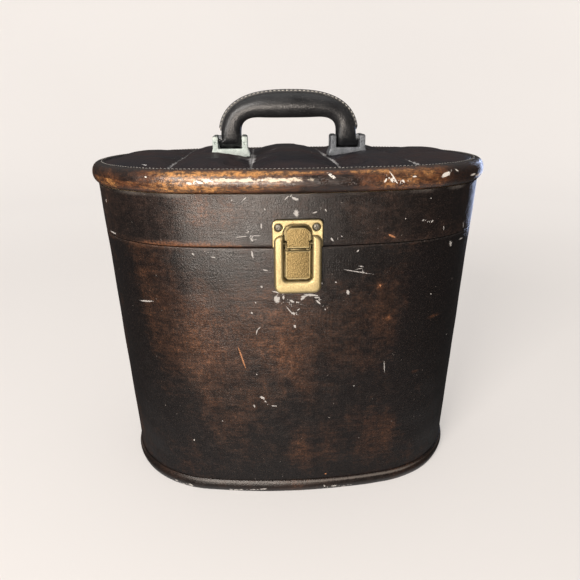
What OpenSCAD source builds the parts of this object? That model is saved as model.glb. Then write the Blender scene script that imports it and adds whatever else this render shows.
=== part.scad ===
// Oval hard case with a padded lid, a carrying handle and a toggle latch.
// Origin: middle of the base on the floor. +X is the long axis, -Y the latch side, +Y the hinge side.

/* [Case] */
// Outside width of the body at the lid line
case_w = 290; // [250:1:330]
// Outside depth of the body at the lid line
case_d = 188; // [170:1:215]
// How much the front and back bow out past the radius of the ends
side_bow = 5; // [3:0.5:9]
// Height of the body, from the floor to the lid line
body_h = 201; // [160:1:260]
// Height of the lid's upright skirt, from the lid line to the rim roll
skirt_h = 35; // [28:1:60]
// Outward lean of every wall, in mm for each mm of height
lean = 0.04; // [0:0.005:0.07]
// Gap between the lid and the body when closed
lid_gap = 0.4; // [0.3:0.1:1]

/* [Walls] */
// Thickness of the cover cloth
cover_t = 1; // [0.6:0.1:1.6]
// Thickness of the bent wall board
board_t = 3; // [2:0.5:4]
// Thickness of the lining
lining_t = 0.8; // [0.5:0.1:1.5]
// Glue line between two layers
glue = 0.1; // [0.05:0.05:0.2]
// Thickness of the floor board
floor_t = 4; // [3:0.5:8]
// Thickness of the padded card on the floor
floor_pad_t = 2.5; // [1.5:0.5:6]
// Thickness of the collar board that locates the lid
collar_t = 1.6; // [1:0.2:2.4]
// Height of the collar above the lid line
collar_up = 7; // [4:0.5:10]
// Depth of the collar below the lid line
collar_down = 30; // [15:1:60]
// Clearance between the collar and the lid's lining
collar_fit = 0.5; // [0.4:0.1:1]
// Height of the binding round the base
ring_h = 10; // [6:0.5:16]
// Thickness of the base binding at its edges
ring_t = 0.9; // [0.6:0.1:1.5]
// Extra bulge in the middle of the base binding
ring_bulge = 1.4; // [0.5:0.1:3]

/* [Lid top] */
// Height of the rim roll
roll_h = 15; // [12:0.5:22]
// Overhang of the rim roll past the skirt
roll_out = 3.8; // [2.5:0.1:6]
// Width of the rim roll inside the skirt's outer face
roll_in = 2.5; // [1.5:0.1:3.5]
// Thickness of the lid's top board
top_board_t = 4; // [3:0.5:6]
// Width of the stitched edge inside the rim roll
stitch_w = 3; // [2:0.5:5]
// Drop of the stitched edge below the top of the roll
stitch_drop = 0.6; // [0.3:0.1:1.5]
// Thickness of the pad inside the lid's top
ceiling_t = 2.8; // [1.5:0.1:6]
// Height of the sewn channels of the lid pad above the top board
pad_low = 9.6; // [7:0.1:12]
// Rise of each pad from its channels to its crown
pad_puff = 6; // [3:0.5:9]
// Distance of the two inner channels from the middle
inner_channel = 29; // [20:1:34]
// Distance of the two outer channels from the middle
outer_channel = 83; // [75:1:95]

/* [Handle] */
// Distance between the middles of the handle's two legs
handle_span = 91.3; // [80:0.5:110]
// Width of a handle leg
leg_w = 17.7; // [14:0.1:20]
// Depth of a handle leg, front to back
leg_d = 12.6; // [10:0.1:14]
// Height of the pins above the bracket feet
pin_up = 12.5; // [11.5:0.1:15]
// Height of the grip's top above the pins
handle_rise = 36.6; // [30:0.1:50]
// Height of the grip's underside above the pins, at the legs' inner corners
gap_rise = 17.4; // [12:0.1:20]
// How far the grip's underside sags in the middle
belly = 1.5; // [0:0.1:3]
// Depth of the grip at its middle, front to back
grip_d = 19; // [14:0.5:24]
// Height of the stitched welt along the top of the handle
welt_h = 2; // [1:0.1:3]
// Thickness of the stitched welt
welt_t = 2.6; // [1.5:0.1:4]
// Width of the steel core strip
core_w = 7; // [5:0.5:9]
// Thickness of the steel core strip
core_t = 3; // [2:0.5:4]
// Diameter of the pins through the handle's legs
pin_d = 4; // [3:0.1:5]
// Running clearance of the pins, on the radius
pin_fit = 0.06; // [0.03:0.01:0.09]

/* [Brackets] */
// Width of a bracket at its foot
bracket_w = 30; // [28:0.5:34]
// Width of a bracket at the tops of its ears
ear_span = 26.9; // [25:0.1:28]
// Depth of a bracket, front to back
bracket_d = 15; // [13:0.5:20]
// Thickness of a bracket's foot under the leg
foot_t = 6; // [4:0.1:7]
// Height of a bracket
bracket_h = 16; // [15:0.1:20]
// Clearance between a leg and the ears
ear_fit = 0.4; // [0.3:0.1:0.8]
// Diameter of the screws that hold the brackets
screw_d = 3.5; // [3:0.1:4.5]
// Distance of the bracket screws from the middle of the bracket
screw_out = 4.6; // [4:0.1:5.5]
// Thickness of the backing plates inside the lid
backing_t = 1.2; // [0.8:0.1:2]

/* [Latch] */
// Width of the keeper plate on the lid
keeper_w = 33; // [31:0.5:38]
// Height of the keeper plate
keeper_h = 18.2; // [17:0.1:22]
// Thickness of the keeper plate
keeper_t = 2.6; // [2.2:0.1:3]
// Thickness of the floor of the keeper's pocket
pocket_floor = 1.1; // [0.8:0.1:1.4]
// Width of the latch frame on the body
frame_w = 31.2; // [30:0.1:34]
// Drop of the latch frame below the lid line
frame_drop = 30.6; // [28:0.1:36]
// Rise of the frame's arms above the lid line
frame_rise = 9; // [7.5:0.1:10]
// Width of the opening in the latch frame
frame_in = 18.4; // [18:0.1:20]
// Projection of the latch frame from the wall
frame_out = 5.8; // [5.4:0.1:7]
// Thickness of the plate behind the latch frame
latch_back_t = 0.9; // [0.6:0.1:1.2]
// Width of the lever
lever_w = 16.3; // [15.5:0.1:16.8]
// Drop of the lever's end below the lid line
lever_drop = 20.6; // [16:0.1:21]
// Thickness of the lever and the hook plate
latch_t = 1.3; // [1:0.1:1.5]
// Height of the lever's pivot above the lid line
pivot_up = 4; // [3:0.1:5]
// Height of the hook's tip above the lid line
hook_up = 14.4; // [12:0.1:15]
// Diameter of the lever's pivot stubs
stub_d = 1.2; // [1:0.1:1.4]
// Diameter of the hook's pin
hook_pin_d = 0.8; // [0.7:0.1:0.9]
// Running clearance of the latch pins, on the radius
latch_fit = 0.04; // [0.03:0.01:0.06]
// Diameter of the screw heads in the keeper
keeper_head_d = 4.8; // [4:0.1:5.2]
// Distance of the keeper screws from the middle
keeper_screw_x = 12.3; // [12:0.1:13]
// Height of the keeper screws above the lid line
keeper_screw_z = 14; // [12:0.1:15]

/* [Hinges] */
// Distance of the hinges from the middle
hinge_x = 38; // [30:1:50]
// Width of a hinge
hinge_w = 26; // [20:1:34]
// Height of one hinge leaf
leaf_h = 15; // [12:0.5:20]
// Thickness of a hinge leaf
leaf_t = 1; // [0.8:0.1:1.4]
// Distance of the hinge line behind the wall
hinge_out = 3; // [2.8:0.1:4]
// Radius of the hinge barrel
barrel_r = 2.6; // [2.3:0.1:2.8]
// Diameter of the hinge pin
hinge_pin_d = 2.4; // [2:0.1:2.8]
// Running clearance of the hinge pin, on the radius
hinge_fit = 0.05; // [0.03:0.01:0.08]
// Gap between two hinge knuckles
knuckle_gap = 0.4; // [0.3:0.1:0.8]
// Diameter of the rivets
rivet_d = 2.6; // [2:0.1:3]
// Diameter of the rivet heads
rivet_head_d = 5; // [4:0.1:5.6]

/* [Hidden] */
$fn = 48;

half_w = case_w / 2;
half_d = case_d / 2;
end_r = half_d - side_bow;
end_x = half_w - end_r;
side_r = (end_x ^ 2 / (half_d - end_r) + end_r + half_d) / 2;
side_y = side_r - half_d;
// Direction in which an end arc meets a side arc
join = atan2(side_y, end_x);
lean_a = atan(lean);
end_steps = 36;
side_steps = 8;

// Depths of the wall's layers, measured inward from the outer face
board_in = cover_t + glue;
lining_in = board_in + board_t + glue;
wall_in = lining_in + lining_t;

rim_z = body_h + skirt_h;
rim_top = rim_z + roll_h;
lid_z = body_h + lid_gap;
rim_lean = skirt_h * lean;
top_board_z = rim_z + glue;
pad_z = top_board_z + top_board_t + glue;
floor_z = cover_t + glue;
floor_pad_z = floor_z + floor_t + glue;
pad_out = rim_lean - roll_in - stitch_w - 2 * glue;

leg_x = handle_span / 2;
foot_z = pad_z + pad_low + 1.5;
pin_z = foot_z + pin_up;
screw_end = rim_z - backing_t - 2.6;
screw_head_h = 2;
screw_head_d = 2 * screw_d;
nut_w = 2 * screw_d;
backing_w = 24;
backing_d = 14;
core_eye_d = pin_d + 3;
arch_steps = 24;
arch_t = [for (k = [0:arch_steps]) 180 * k / arch_steps];

hinge_y = half_d + hinge_out;
latch_face = frame_out - 0.5;
hook_eye_r = hook_pin_d / 2 + 0.36;
hook_axis = latch_face - hook_eye_r;
split = hook_eye_r + 0.15;
latch_rivet_z = [-8, -19];
stub_in = 3.2;
eye_w = 2.9;
leaf_gap = 0.5;
leaf_rivet_x = hinge_w / 2 - 5;
leaf_rivet_z = leaf_h - 5;
knuckle = (hinge_w - 2 * knuckle_gap) / 3;

leather = [0.16, 0.1, 0.08];
brass = [0.72, 0.6, 0.36];
black = [0.08, 0.08, 0.085];
board = [0.62, 0.5, 0.34];
cloth = [0.55, 0.42, 0.3];
steel = [0.6, 0.6, 0.6];

// Stations round the oval: centre, radius and direction of each point
function arc_stations(cx, cy, r, from, to, n) =
  [for (i = [0:n - 1]) [cx, cy, r, from + (to - from) * i / n]];
stations = concat(
  arc_stations(end_x, 0, end_r, -join, join, end_steps),
  arc_stations(0, -side_y, side_r, join, 180 - join, side_steps),
  arc_stations(-end_x, 0, end_r, 180 - join, 180 + join, end_steps),
  arc_stations(0, side_y, side_r, 180 + join, 360 - join, side_steps));
function at(s, off) = [s[0] + (s[2] + off) * cos(s[3]), s[1] + (s[2] + off) * sin(s[3])];
// Outward shift of a wall at height z
function shift(z) = (z - body_h) * lean;
// Section of a wall layer that leans with the case, between two depths below the outer face
function layer(z0, z1, outer, inner) =
  [[shift(z0) - inner, z0], [shift(z0) - outer, z0], [shift(z1) - outer, z1], [shift(z1) - inner, z1]];
// Half the depth of the oval, grown by off, at distance x from the middle
function half_depth(x, off) = abs(x) <= (side_r + off) * cos(join)
  ? sqrt((side_r + off) ^ 2 - x ^ 2) - side_y
  : sqrt(max(0, (end_r + off) ^ 2 - (abs(x) - end_x) ^ 2));

// A closed band round the oval, with a section given as [shift, height] points
module oval_band(section) {
  m = len(section);
  n = len(stations);
  polyhedron(
    points = [for (s = stations, p = section) concat(at(s, p[0]), p[1])],
    faces = [for (i = [0:n - 1], j = [0:m - 1])
      [i * m + j, i * m + (j + 1) % m, ((i + 1) % n) * m + (j + 1) % m, ((i + 1) % n) * m + j]]);
}

// A flat plate with the oval's outline, shifted by off
module oval_plate(off, z, t) {
  translate([0, 0, z]) linear_extrude(t) polygon([for (s = stations) at(s, off)]);
}

// Places things on the front wall: z is up the wall, y is into it, from the lid line
module on_front() {
  translate([0, -half_d, body_h]) rotate([lean_a, 0, 0]) children();
}

// Places things on the back wall at a hinge, square to the wall there
module on_back(side) {
  a = asin(hinge_x / side_r);
  translate([0, -side_y, body_h]) rotate(-side * a)
    translate([0, side_r, 0]) rotate([-lean_a, 0, 0]) children();
}

// A cylinder along X, centred
module x_rod(d, len) {
  rotate([0, 90, 0]) cylinder(d = d, h = len, center = true);
}

// A cylinder along Y, from y0 to y1
module y_rod(d, y0, y1) {
  translate([0, y0, 0]) rotate([-90, 0, 0]) cylinder(d = d, h = y1 - y0);
}

// A plate in the XZ plane with rounded corners, from y0 to y1
module round_plate(x0, x1, z0, z1, r_top, r_low, y0, y1) {
  corners = [[x0, z0, r_low, 180], [x1, z0, r_low, 270], [x1, z1, r_top, 0], [x0, z1, r_top, 90]];
  translate([0, y1, 0]) rotate([90, 0, 0]) linear_extrude(y1 - y0)
    polygon([for (c = corners, k = [0:5])
      [c[0] + (c[0] == x0 ? c[2] : -c[2]) + c[2] * cos(c[3] + 18 * k),
       c[1] + (c[1] == z0 ? c[2] : -c[2]) + c[2] * sin(c[3] + 18 * k)]]);
}

// Body

module base_cover() {
  color(leather) oval_plate(shift(0), 0, cover_t);
}

module floor_board() {
  color(board) oval_plate(shift(floor_z) - board_in - board_t - glue, floor_z, floor_t);
}

module body_board() {
  color(board) difference() {
    oval_band(layer(floor_z, body_h - board_in, board_in, board_in + board_t));
    wall_holes(-1);
  }
}

module body_cover() {
  z = floor_z;
  top_in = board_in + board_t;
  color(leather) difference() {
    oval_band([[shift(z) - cover_t, z], [shift(z), z], [0, body_h], [-top_in, body_h],
      [shift(body_h - cover_t) - top_in, body_h - cover_t],
      [shift(body_h - cover_t) - cover_t, body_h - cover_t]]);
    wall_holes(-1);
  }
}

module base_binding() {
  steps = 6;
  color("sienna") oval_band(concat(
    [for (k = [0:steps]) let (z = ring_h * k / steps)
      [shift(z) + glue + ring_t + ring_bulge * sin(180 * k / steps), z]],
    [[shift(ring_h) + glue, ring_h], [shift(0) + glue, 0]]));
}

module body_lining() {
  color(cloth) oval_band(layer(floor_pad_z, body_h, lining_in, wall_in));
}

module floor_pad() {
  color(cloth) oval_plate(shift(floor_pad_z) - wall_in - glue, floor_pad_z, floor_pad_t);
}

module collar() {
  z0 = body_h - collar_down;
  z1 = body_h + collar_up;
  out = wall_in + collar_fit;
  low = wall_in + glue;
  color(cloth) oval_band([[shift(z0) - low - collar_t, z0], [shift(z0) - low, z0],
    [-out, body_h], [-out - 0.4, z1], [-out - collar_t, z1], [-out - collar_t, body_h]]);
}

// Holes for the rivets and screws in the body's walls (side -1) or in the lid's (side 1)
module wall_holes(side) {
  fit = 2 * glue;
  if (side < 0)
    on_front() for (z = latch_rivet_z) translate([0, 0, z]) y_rod(rivet_d + fit, -1, board_in + board_t + 1);
  else
    on_front() for (x = [-1, 1]) translate([x * keeper_screw_x, 0, keeper_screw_z])
      y_rod(rivet_d + fit, -1, board_in + board_t + 1);
  for (h = [-1, 1]) on_back(h) for (x = [-1, 1]) translate([x * leaf_rivet_x, 0, side * leaf_rivet_z])
    y_rod(rivet_d + fit, -board_in - board_t - 1, 1);
}

// Lid

module skirt_board() {
  color(board) difference() {
    oval_band(layer(lid_z + board_in, rim_z, board_in, board_in + board_t));
    wall_holes(1);
  }
}

module skirt_cover() {
  top_in = board_in + board_t;
  z = lid_z;
  color(leather) difference() {
    oval_band([[shift(z) - top_in, z], [shift(z), z], [rim_lean, rim_z], [rim_lean - cover_t, rim_z],
      [shift(z + cover_t) - cover_t, z + cover_t], [shift(z + cover_t) - top_in, z + cover_t]]);
    wall_holes(1);
  }
}

module top_board() {
  color(board) difference() {
    oval_plate(rim_lean - roll_in - glue, top_board_z, top_board_t);
    bracket_holes();
  }
}

module rim_roll() {
  mid = rim_z + glue + roll_h / 2;
  steps = 12;
  color("saddlebrown") oval_band([for (k = [0:steps]) let (a = 180 * k / steps - 90)
    [rim_lean - roll_in + (roll_in + roll_out) * cos(a), mid + roll_h / 2 * sin(a)]]);
}

module stitched_edge() {
  out = rim_lean - roll_in - glue;
  top = rim_top + glue - stitch_drop;
  color("saddlebrown") oval_band([[out - stitch_w, pad_z], [out, pad_z], [out, top - 0.3],
    [out - stitch_w * 0.3, top], [out - stitch_w * 0.7, top], [out - stitch_w, top - 0.4]]);
}

// Puffed pads between four channels that run front to back and one that runs lengthwise
module lid_pad() {
  ends = half_w + pad_out - 0.4;
  edges = [-ends, -outer_channel, -inner_channel, inner_channel, outer_channel, ends];
  across = 7;
  along = 8;
  function ease(t) = (1 - cos(180 * t)) / 2;
  function puff(t) = t <= 0 || t >= 1 ? 0 : sin(180 * t) ^ 0.7;
  columns = concat([for (c = [0:4], k = [0:across - 1])
    [edges[c] + (edges[c + 1] - edges[c]) * ease(k / across), puff(ease(k / across))]], [[ends, 0]]);
  rows = [for (k = [-along:along]) sign(k) * ease(abs(k) / along)];
  nx = len(columns);
  ny = len(rows);
  top = [for (c = columns, v = rows)
    [c[0], v * half_depth(c[0], pad_out), pad_z + pad_low + pad_puff * c[1] * puff(abs(v))]];
  low = [for (c = columns, v = [-1, 1]) [c[0], v * half_depth(c[0], pad_out), pad_z]];
  n = len(top);
  last = n - 1;
  far_low = n + 2 * nx - 2;
  color(black) difference() {
    polyhedron(points = concat(top, low), faces = concat(
      [for (i = [0:nx - 2], j = [0:ny - 2]) each let (a = i * ny + j, b = a + ny)
        [[a, a + 1, b], [a + 1, b + 1, b]]],
      [for (i = [0:nx - 2]) each let (a = i * ny, b = a + ny, c = n + 2 * i, d = c + 2)
        [[a, b, c], [b, d, c]]],
      [for (i = [0:nx - 2]) each let (a = i * ny + ny - 1, b = a + ny, c = n + 2 * i + 1, d = c + 2)
        [[a, c, b], [b, c, d]]],
      [for (i = [0:nx - 2]) let (c = n + 2 * i) [c, c + 2, c + 3, c + 1]],
      [[n, n + 1, ny - 1], [far_low, last, far_low + 1]],
      [for (j = [1:ny - 1]) [n, j, j - 1]],
      [for (j = [1:ny - 1]) [far_low, last - ny + j, last - ny + j + 1]]));
    for (s = [-1, 1]) translate([s * leg_x, 0, foot_z + 10])
      cube([bracket_w + 0.6, bracket_d + 0.6, 20 + 2 * glue], center = true);
    bracket_holes();
  }
}

module skirt_lining() {
  color(cloth) oval_band(layer(lid_z, rim_z, lining_in, wall_in));
}

module ceiling_pad() {
  color(cloth) difference() {
    oval_plate(rim_lean - wall_in - glue - lean * ceiling_t, rim_z - ceiling_t, ceiling_t);
    for (s = [-1, 1]) translate([s * leg_x, 0, rim_z - ceiling_t / 2])
      cube([backing_w + 0.4, backing_d + 0.4, ceiling_t + 1], center = true);
  }
}

// Handle

// Places things at each handle leg's pin
module at_pins() {
  for (s = [-1, 1]) translate([s * leg_x, 0, pin_z]) children();
}

// Points of the arch between two superellipses, at angle t from the right leg
function power(v, n) = sign(v) * abs(v) ^ (2 / n);
function arch_out(t) = [(leg_x + leg_w / 2 - welt_h) * power(cos(t), 2.58),
  (handle_rise - welt_h) * power(sin(t), 2.58)];
function arch_in(t) = [(leg_x - leg_w / 2) * power(cos(t), 4.5),
  gap_rise * power(sin(t), 4.5) - belly * sin(t) ^ 12];

module handle_grip() {
  sides = 12;
  rings = [for (t = arch_t) let (o = arch_out(t), i = arch_in(t), mid = (o + i) / 2, h = (o - i) / 2,
      d = leg_d / 2 + (grip_d - leg_d) / 2 * sin(t) ^ 3)
    [for (k = [0:sides - 1]) let (a = 360 * k / sides)
      [mid[0] + h[0] * cos(a), d * sin(a), mid[1] + h[1] * cos(a)]]];
  n = len(rings);
  color(black) difference() {
    union() {
      translate([0, 0, pin_z]) polyhedron(points = [for (r = rings) each r], faces = concat(
        [for (i = [0:n - 2], k = [0:sides - 1])
          each let (a = i * sides + k, b = i * sides + (k + 1) % sides)
          [[a, a + sides, b], [b, a + sides, b + sides]]],
        [[for (k = [0:sides - 1]) k]],
        [[for (k = [sides - 1:-1:0]) (n - 1) * sides + k]]));
      at_pins() x_rod(leg_d, leg_w);
    }
    core_band(core_w + 2 * glue, core_t + 2 * glue);
    at_pins() x_rod(core_eye_d + 2 * glue, leg_w + 1);
  }
}

// The flat strip that runs through the handle from eye to eye
module core_band(w, t) {
  mid = [for (a = arch_t) (arch_out(a) + arch_in(a)) / 2];
  dir = [for (a = arch_t) let (v = arch_out(a) - arch_in(a)) v / norm(v)];
  translate([0, t / 2, pin_z]) rotate([90, 0, 0]) linear_extrude(t) polygon(concat(
    [for (k = [0:arch_steps]) mid[k] + dir[k] * w / 2],
    [for (k = [arch_steps:-1:0]) mid[k] - dir[k] * w / 2]));
}

module handle_core() {
  color(steel) difference() {
    union() {
      core_band(core_w, core_t);
      at_pins() x_rod(core_eye_d, leg_w);
    }
    at_pins() x_rod(pin_d + 2 * pin_fit, leg_w + 1);
  }
}

module handle_welt() {
  edge = [for (t = arch_t) if (t > 7 && t < 173) t];
  function rise(t) = let (o = arch_out(t), v = o - arch_in(t)) v / norm(v);
  translate([0, welt_t / 2, pin_z]) color(black) rotate([90, 0, 0]) linear_extrude(welt_t)
    polygon(concat([for (t = edge) arch_out(t) + rise(t) * welt_h],
      [for (k = [len(edge) - 1:-1:0]) arch_out(edge[k]) + rise(edge[k]) * 2 * glue]));
}

// A bracket is a thick foot with two ears that hold the pin
module bracket() {
  ear_in = leg_w / 2 + ear_fit;
  c = 1.5;
  translate([0, bracket_d / 2, foot_z]) difference() {
    rotate([90, 0, 0]) linear_extrude(bracket_d) polygon([
      [-bracket_w / 2, 0], [bracket_w / 2, 0], [bracket_w / 2, foot_t * 0.4], [ear_span / 2, foot_t],
      [ear_span / 2, bracket_h - c], [ear_span / 2 - c, bracket_h], [ear_in, bracket_h], [ear_in, foot_t],
      [-ear_in, foot_t], [-ear_in, bracket_h], [c - ear_span / 2, bracket_h],
      [-ear_span / 2, bracket_h - c], [-ear_span / 2, foot_t], [-bracket_w / 2, foot_t * 0.4]]);
    translate([0, -bracket_d / 2, pin_up]) x_rod(pin_d + 0.04, bracket_w + 1);
    for (s = [-1, 1]) translate([s * screw_out, -bracket_d / 2, -1]) {
      cylinder(d = screw_d + 2 * glue, h = foot_t + 2);
      translate([0, 0, foot_t + 1 - screw_head_h - 0.2]) cylinder(d = screw_head_d + 0.4, h = 5);
    }
  }
}

module bracket_left() {
  color([0.5, 0.56, 0.52]) translate([-leg_x, 0, 0]) bracket();
}

module bracket_right() {
  color([0.2, 0.23, 0.25]) translate([leg_x, 0, 0]) bracket();
}

module handle_pins() {
  color(steel) at_pins() x_rod(pin_d, ear_span - 1);
}

// Clearance holes for the bracket screws
module bracket_holes() {
  for (s = [-1, 1], q = [-1, 1]) translate([s * leg_x + q * screw_out, 0, screw_end - 1])
    cylinder(d = screw_d + 2 * glue, h = foot_z - screw_end + 10);
}

module bracket_screws() {
  head_z = foot_z + foot_t - screw_head_h - 0.2;
  color(steel) for (s = [-1, 1], q = [-1, 1]) translate([s * leg_x + q * screw_out, 0, 0]) {
    translate([0, 0, screw_end]) cylinder(d = screw_d, h = head_z - screw_end + 0.5);
    translate([0, 0, head_z]) cylinder(d = screw_head_d, h = screw_head_h);
  }
}

module backing_plates() {
  color(steel) difference() {
    for (s = [-1, 1]) translate([s * leg_x - backing_w / 2, -backing_d / 2, rim_z - backing_t])
      cube([backing_w, backing_d, backing_t]);
    bracket_holes();
  }
}

module bracket_nuts() {
  color(steel) difference() {
    for (s = [-1, 1], q = [-1, 1]) translate([s * leg_x + q * screw_out, 0, screw_end + 0.6])
      cylinder(d = nut_w, h = rim_z - backing_t - glue - screw_end - 0.6, $fn = 6);
    bracket_holes();
  }
}

// Latch

// A plate with an arched top, as the hook plate and the pocket round it have
module arched_plate(w, z0, z1, y0, y1) {
  round_plate(-w / 2, w / 2, z0, z1, w * 0.3, 0.01, y0, y1);
}

module keeper_plate() {
  z0 = lid_gap + 0.3;
  color(brass) on_front() difference() {
    round_plate(-keeper_w / 2, keeper_w / 2, z0, z0 + keeper_h, 3, 0.2, -keeper_t - glue, -glue);
    arched_plate(frame_in, z0 - 5, hook_up + 1.6, -keeper_t - 1, -pocket_floor - glue);
    for (x = [-1, 1]) translate([x * keeper_screw_x, 0, keeper_screw_z]) {
      y_rod(rivet_d + 2 * glue, -keeper_t - 1, 1);
      y_rod(keeper_head_d + 2 * glue, -keeper_t - 1, -keeper_t - glue + 1.1);
    }
    translate([0, 0, hook_up + 2.2]) cube([3.2, 20, 0.6], center = true);
  }
}

module keeper_screws() {
  color(brass) on_front() for (x = [-1, 1]) translate([x * keeper_screw_x, 0, keeper_screw_z]) {
    y_rod(rivet_d, -keeper_t - glue + 0.5, board_in + board_t - 0.2);
    y_rod(keeper_head_d, -keeper_t - glue + 0.2, -keeper_t + 0.9);
  }
}

// Raised U frame: its arms rise past the lid line in front of the keeper and carry the lever
module latch_frame() {
  arm_back = keeper_t + glue + 0.4;
  low = -frame_drop;
  color(brass) on_front() difference() {
    union() {
      round_plate(-frame_w / 2, frame_w / 2, low, -0.6, 0.2, 5, -latch_back_t - glue, -glue);
      difference() {
        round_plate(-frame_w / 2, frame_w / 2, low, frame_rise, 5, 5, -frame_out, -latch_back_t);
        round_plate(-frame_in / 2, frame_in / 2, low + 8.8, frame_rise + 5, 0.2, 2.6,
          -frame_out - 1, 1);
        translate([0, 0, 9.4]) cube([frame_w + 1, 2 * arm_back, 20], center = true);
      }
    }
    translate([0, -hook_axis, pivot_up]) x_rod(stub_d + 2 * latch_fit, frame_in + 2 * stub_in);
    for (z = latch_rivet_z) translate([0, 0, z]) y_rod(rivet_d + 2 * glue, -2, 1);
  }
}

module latch_rivets() {
  color(brass) on_front() for (z = latch_rivet_z) translate([0, 0, z]) {
    y_rod(rivet_d, -latch_back_t - glue - 0.3, board_in + board_t - 0.2);
    y_rod(rivet_head_d, -latch_back_t - glue - 0.9, -latch_back_t - 2 * glue);
  }
}

// Cover plate below the lid line, with cheeks up to the pivot and two eyes for the hook's pin
module latch_lever() {
  cheek = 0.7;
  w = lever_w / 2;
  color(brass) on_front() difference() {
    union() {
      round_plate(-w, w, -lever_drop, -split, 0.2, 2.2, -latch_face, latch_t - latch_face);
      for (s = [-1, 1]) {
        translate([s * (w - cheek / 2), 0, 0]) {
          translate([0, -hook_axis, pivot_up]) x_rod(2 * hook_eye_r + 0.9, cheek);
          translate([-cheek / 2, -hook_axis - 0.5, -split - 4])
            cube([cheek, 1.4, pivot_up + split + 4]);
        }
        translate([s * (w + (frame_in / 2 - w + stub_in - 0.2) / 2 - cheek / 2), -hook_axis, pivot_up])
          x_rod(stub_d, frame_in / 2 - w + stub_in - 0.2 + cheek);
        translate([s * (w - eye_w / 2), -hook_axis, 0]) {
          x_rod(2 * hook_eye_r, eye_w);
          translate([-eye_w / 2, 0, -split - 0.8]) cube([eye_w, hook_eye_r, split + 0.8]);
        }
      }
    }
    translate([0, -hook_axis, 0]) x_rod(hook_pin_d + 2 * latch_fit, lever_w - 2 * cheek + 0.2);
  }
}

// Hook plate above the lid line, with an eye on the lever's pin and a lip in the keeper's pocket
module latch_hook() {
  narrow = lever_w - 2;
  eye = lever_w - 2 * eye_w - 0.6;
  neck = pivot_up + hook_eye_r + 1.2;
  color(brass) on_front() difference() {
    union() {
      arched_plate(lever_w + 0.3, neck, hook_up, -latch_face, latch_t - latch_face);
      translate([-narrow / 2, -latch_face, split]) cube([narrow, latch_t, neck - split + 2.5]);
      translate([-narrow / 4, -latch_face, hook_up - 2]) cube([narrow / 2, latch_face - pocket_floor - 0.7, 1.5]);
      translate([0, -hook_axis, 0]) x_rod(2 * hook_eye_r, eye);
      translate([-eye / 2, -hook_axis, 0]) cube([eye, hook_eye_r, split + 0.8]);
    }
    translate([0, -hook_axis, 0]) x_rod(hook_pin_d + 2 * latch_fit, eye + 1);
  }
}

module hook_pin() {
  color(steel) on_front() translate([0, -hook_axis, 0]) x_rod(hook_pin_d, lever_w - 1.6);
}

// Hinges

// Barrel segments of both hinges: the middle one, or the outer two
module knuckles(middle, r, gap) {
  for (h = [-1, 1], k = middle ? [0] : [-1, 1])
    translate([h * hinge_x + k * (knuckle + knuckle_gap), hinge_y, body_h]) x_rod(2 * r, knuckle + 2 * gap);
}

// One leaf on each hinge, with a web to its knuckles: side -1 lies on the body, 1 on the lid
module leaves(side) {
  back = 3 * glue;
  reach = hinge_y - half_depth(hinge_x, 0) - back;
  difference() {
    union() {
      for (h = [-1, 1]) on_back(h) translate([-hinge_w / 2, back, 0]) {
        translate([0, 0, side > 0 ? leaf_gap : -leaf_h]) cube([hinge_w, leaf_t, leaf_h - leaf_gap]);
        translate([0, 0, side > 0 ? leaf_gap : -leaf_gap - leaf_t]) cube([hinge_w, reach, leaf_t]);
      }
      knuckles(side > 0, barrel_r, 0);
    }
    knuckles(side < 0, barrel_r + knuckle_gap, knuckle_gap / 2);
    translate([0, hinge_y, body_h]) x_rod(hinge_pin_d + 2 * hinge_fit, 2 * hinge_x + hinge_w + 1);
    for (h = [-1, 1]) on_back(h) for (x = [-1, 1])
      translate([x * leaf_rivet_x, 0, side * leaf_rivet_z]) y_rod(rivet_d + 2 * glue, -1, 4);
  }
}

module body_leaves() {
  color(brass) leaves(-1);
}

module lid_leaves() {
  color(brass) leaves(1);
}

module hinge_pins() {
  color(steel) for (h = [-1, 1]) translate([h * hinge_x, hinge_y, body_h]) x_rod(hinge_pin_d, hinge_w);
}

module leaf_rivets(side) {
  out = 3 * glue + leaf_t;
  color(brass) for (h = [-1, 1]) on_back(h) for (x = [-1, 1])
    translate([x * leaf_rivet_x, 0, side * leaf_rivet_z]) {
      y_rod(rivet_d, 0.2 - board_in - board_t, out + 0.5);
      y_rod(rivet_head_d, out + glue, out + glue + 0.9);
    }
}

module body_leaf_rivets() {
  leaf_rivets(-1);
}

module lid_leaf_rivets() {
  leaf_rivets(1);
}

base_cover();
floor_board();
body_board();
body_cover();
base_binding();
body_lining();
floor_pad();
collar();
skirt_board();
skirt_cover();
top_board();
rim_roll();
stitched_edge();
lid_pad();
skirt_lining();
ceiling_pad();
handle_grip();
handle_core();
handle_welt();
bracket_left();
bracket_right();
handle_pins();
bracket_screws();
backing_plates();
bracket_nuts();
keeper_plate();
keeper_screws();
latch_frame();
latch_rivets();
latch_lever();
latch_hook();
hook_pin();
body_leaves();
lid_leaves();
hinge_pins();
body_leaf_rivets();
lid_leaf_rivets();
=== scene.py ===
"""Looks for the oval hard case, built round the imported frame. Lengths are in mm, apart from the stage's."""
import math

import bmesh
import bpy
import numpy as np
from mathutils import Matrix, Vector


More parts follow.
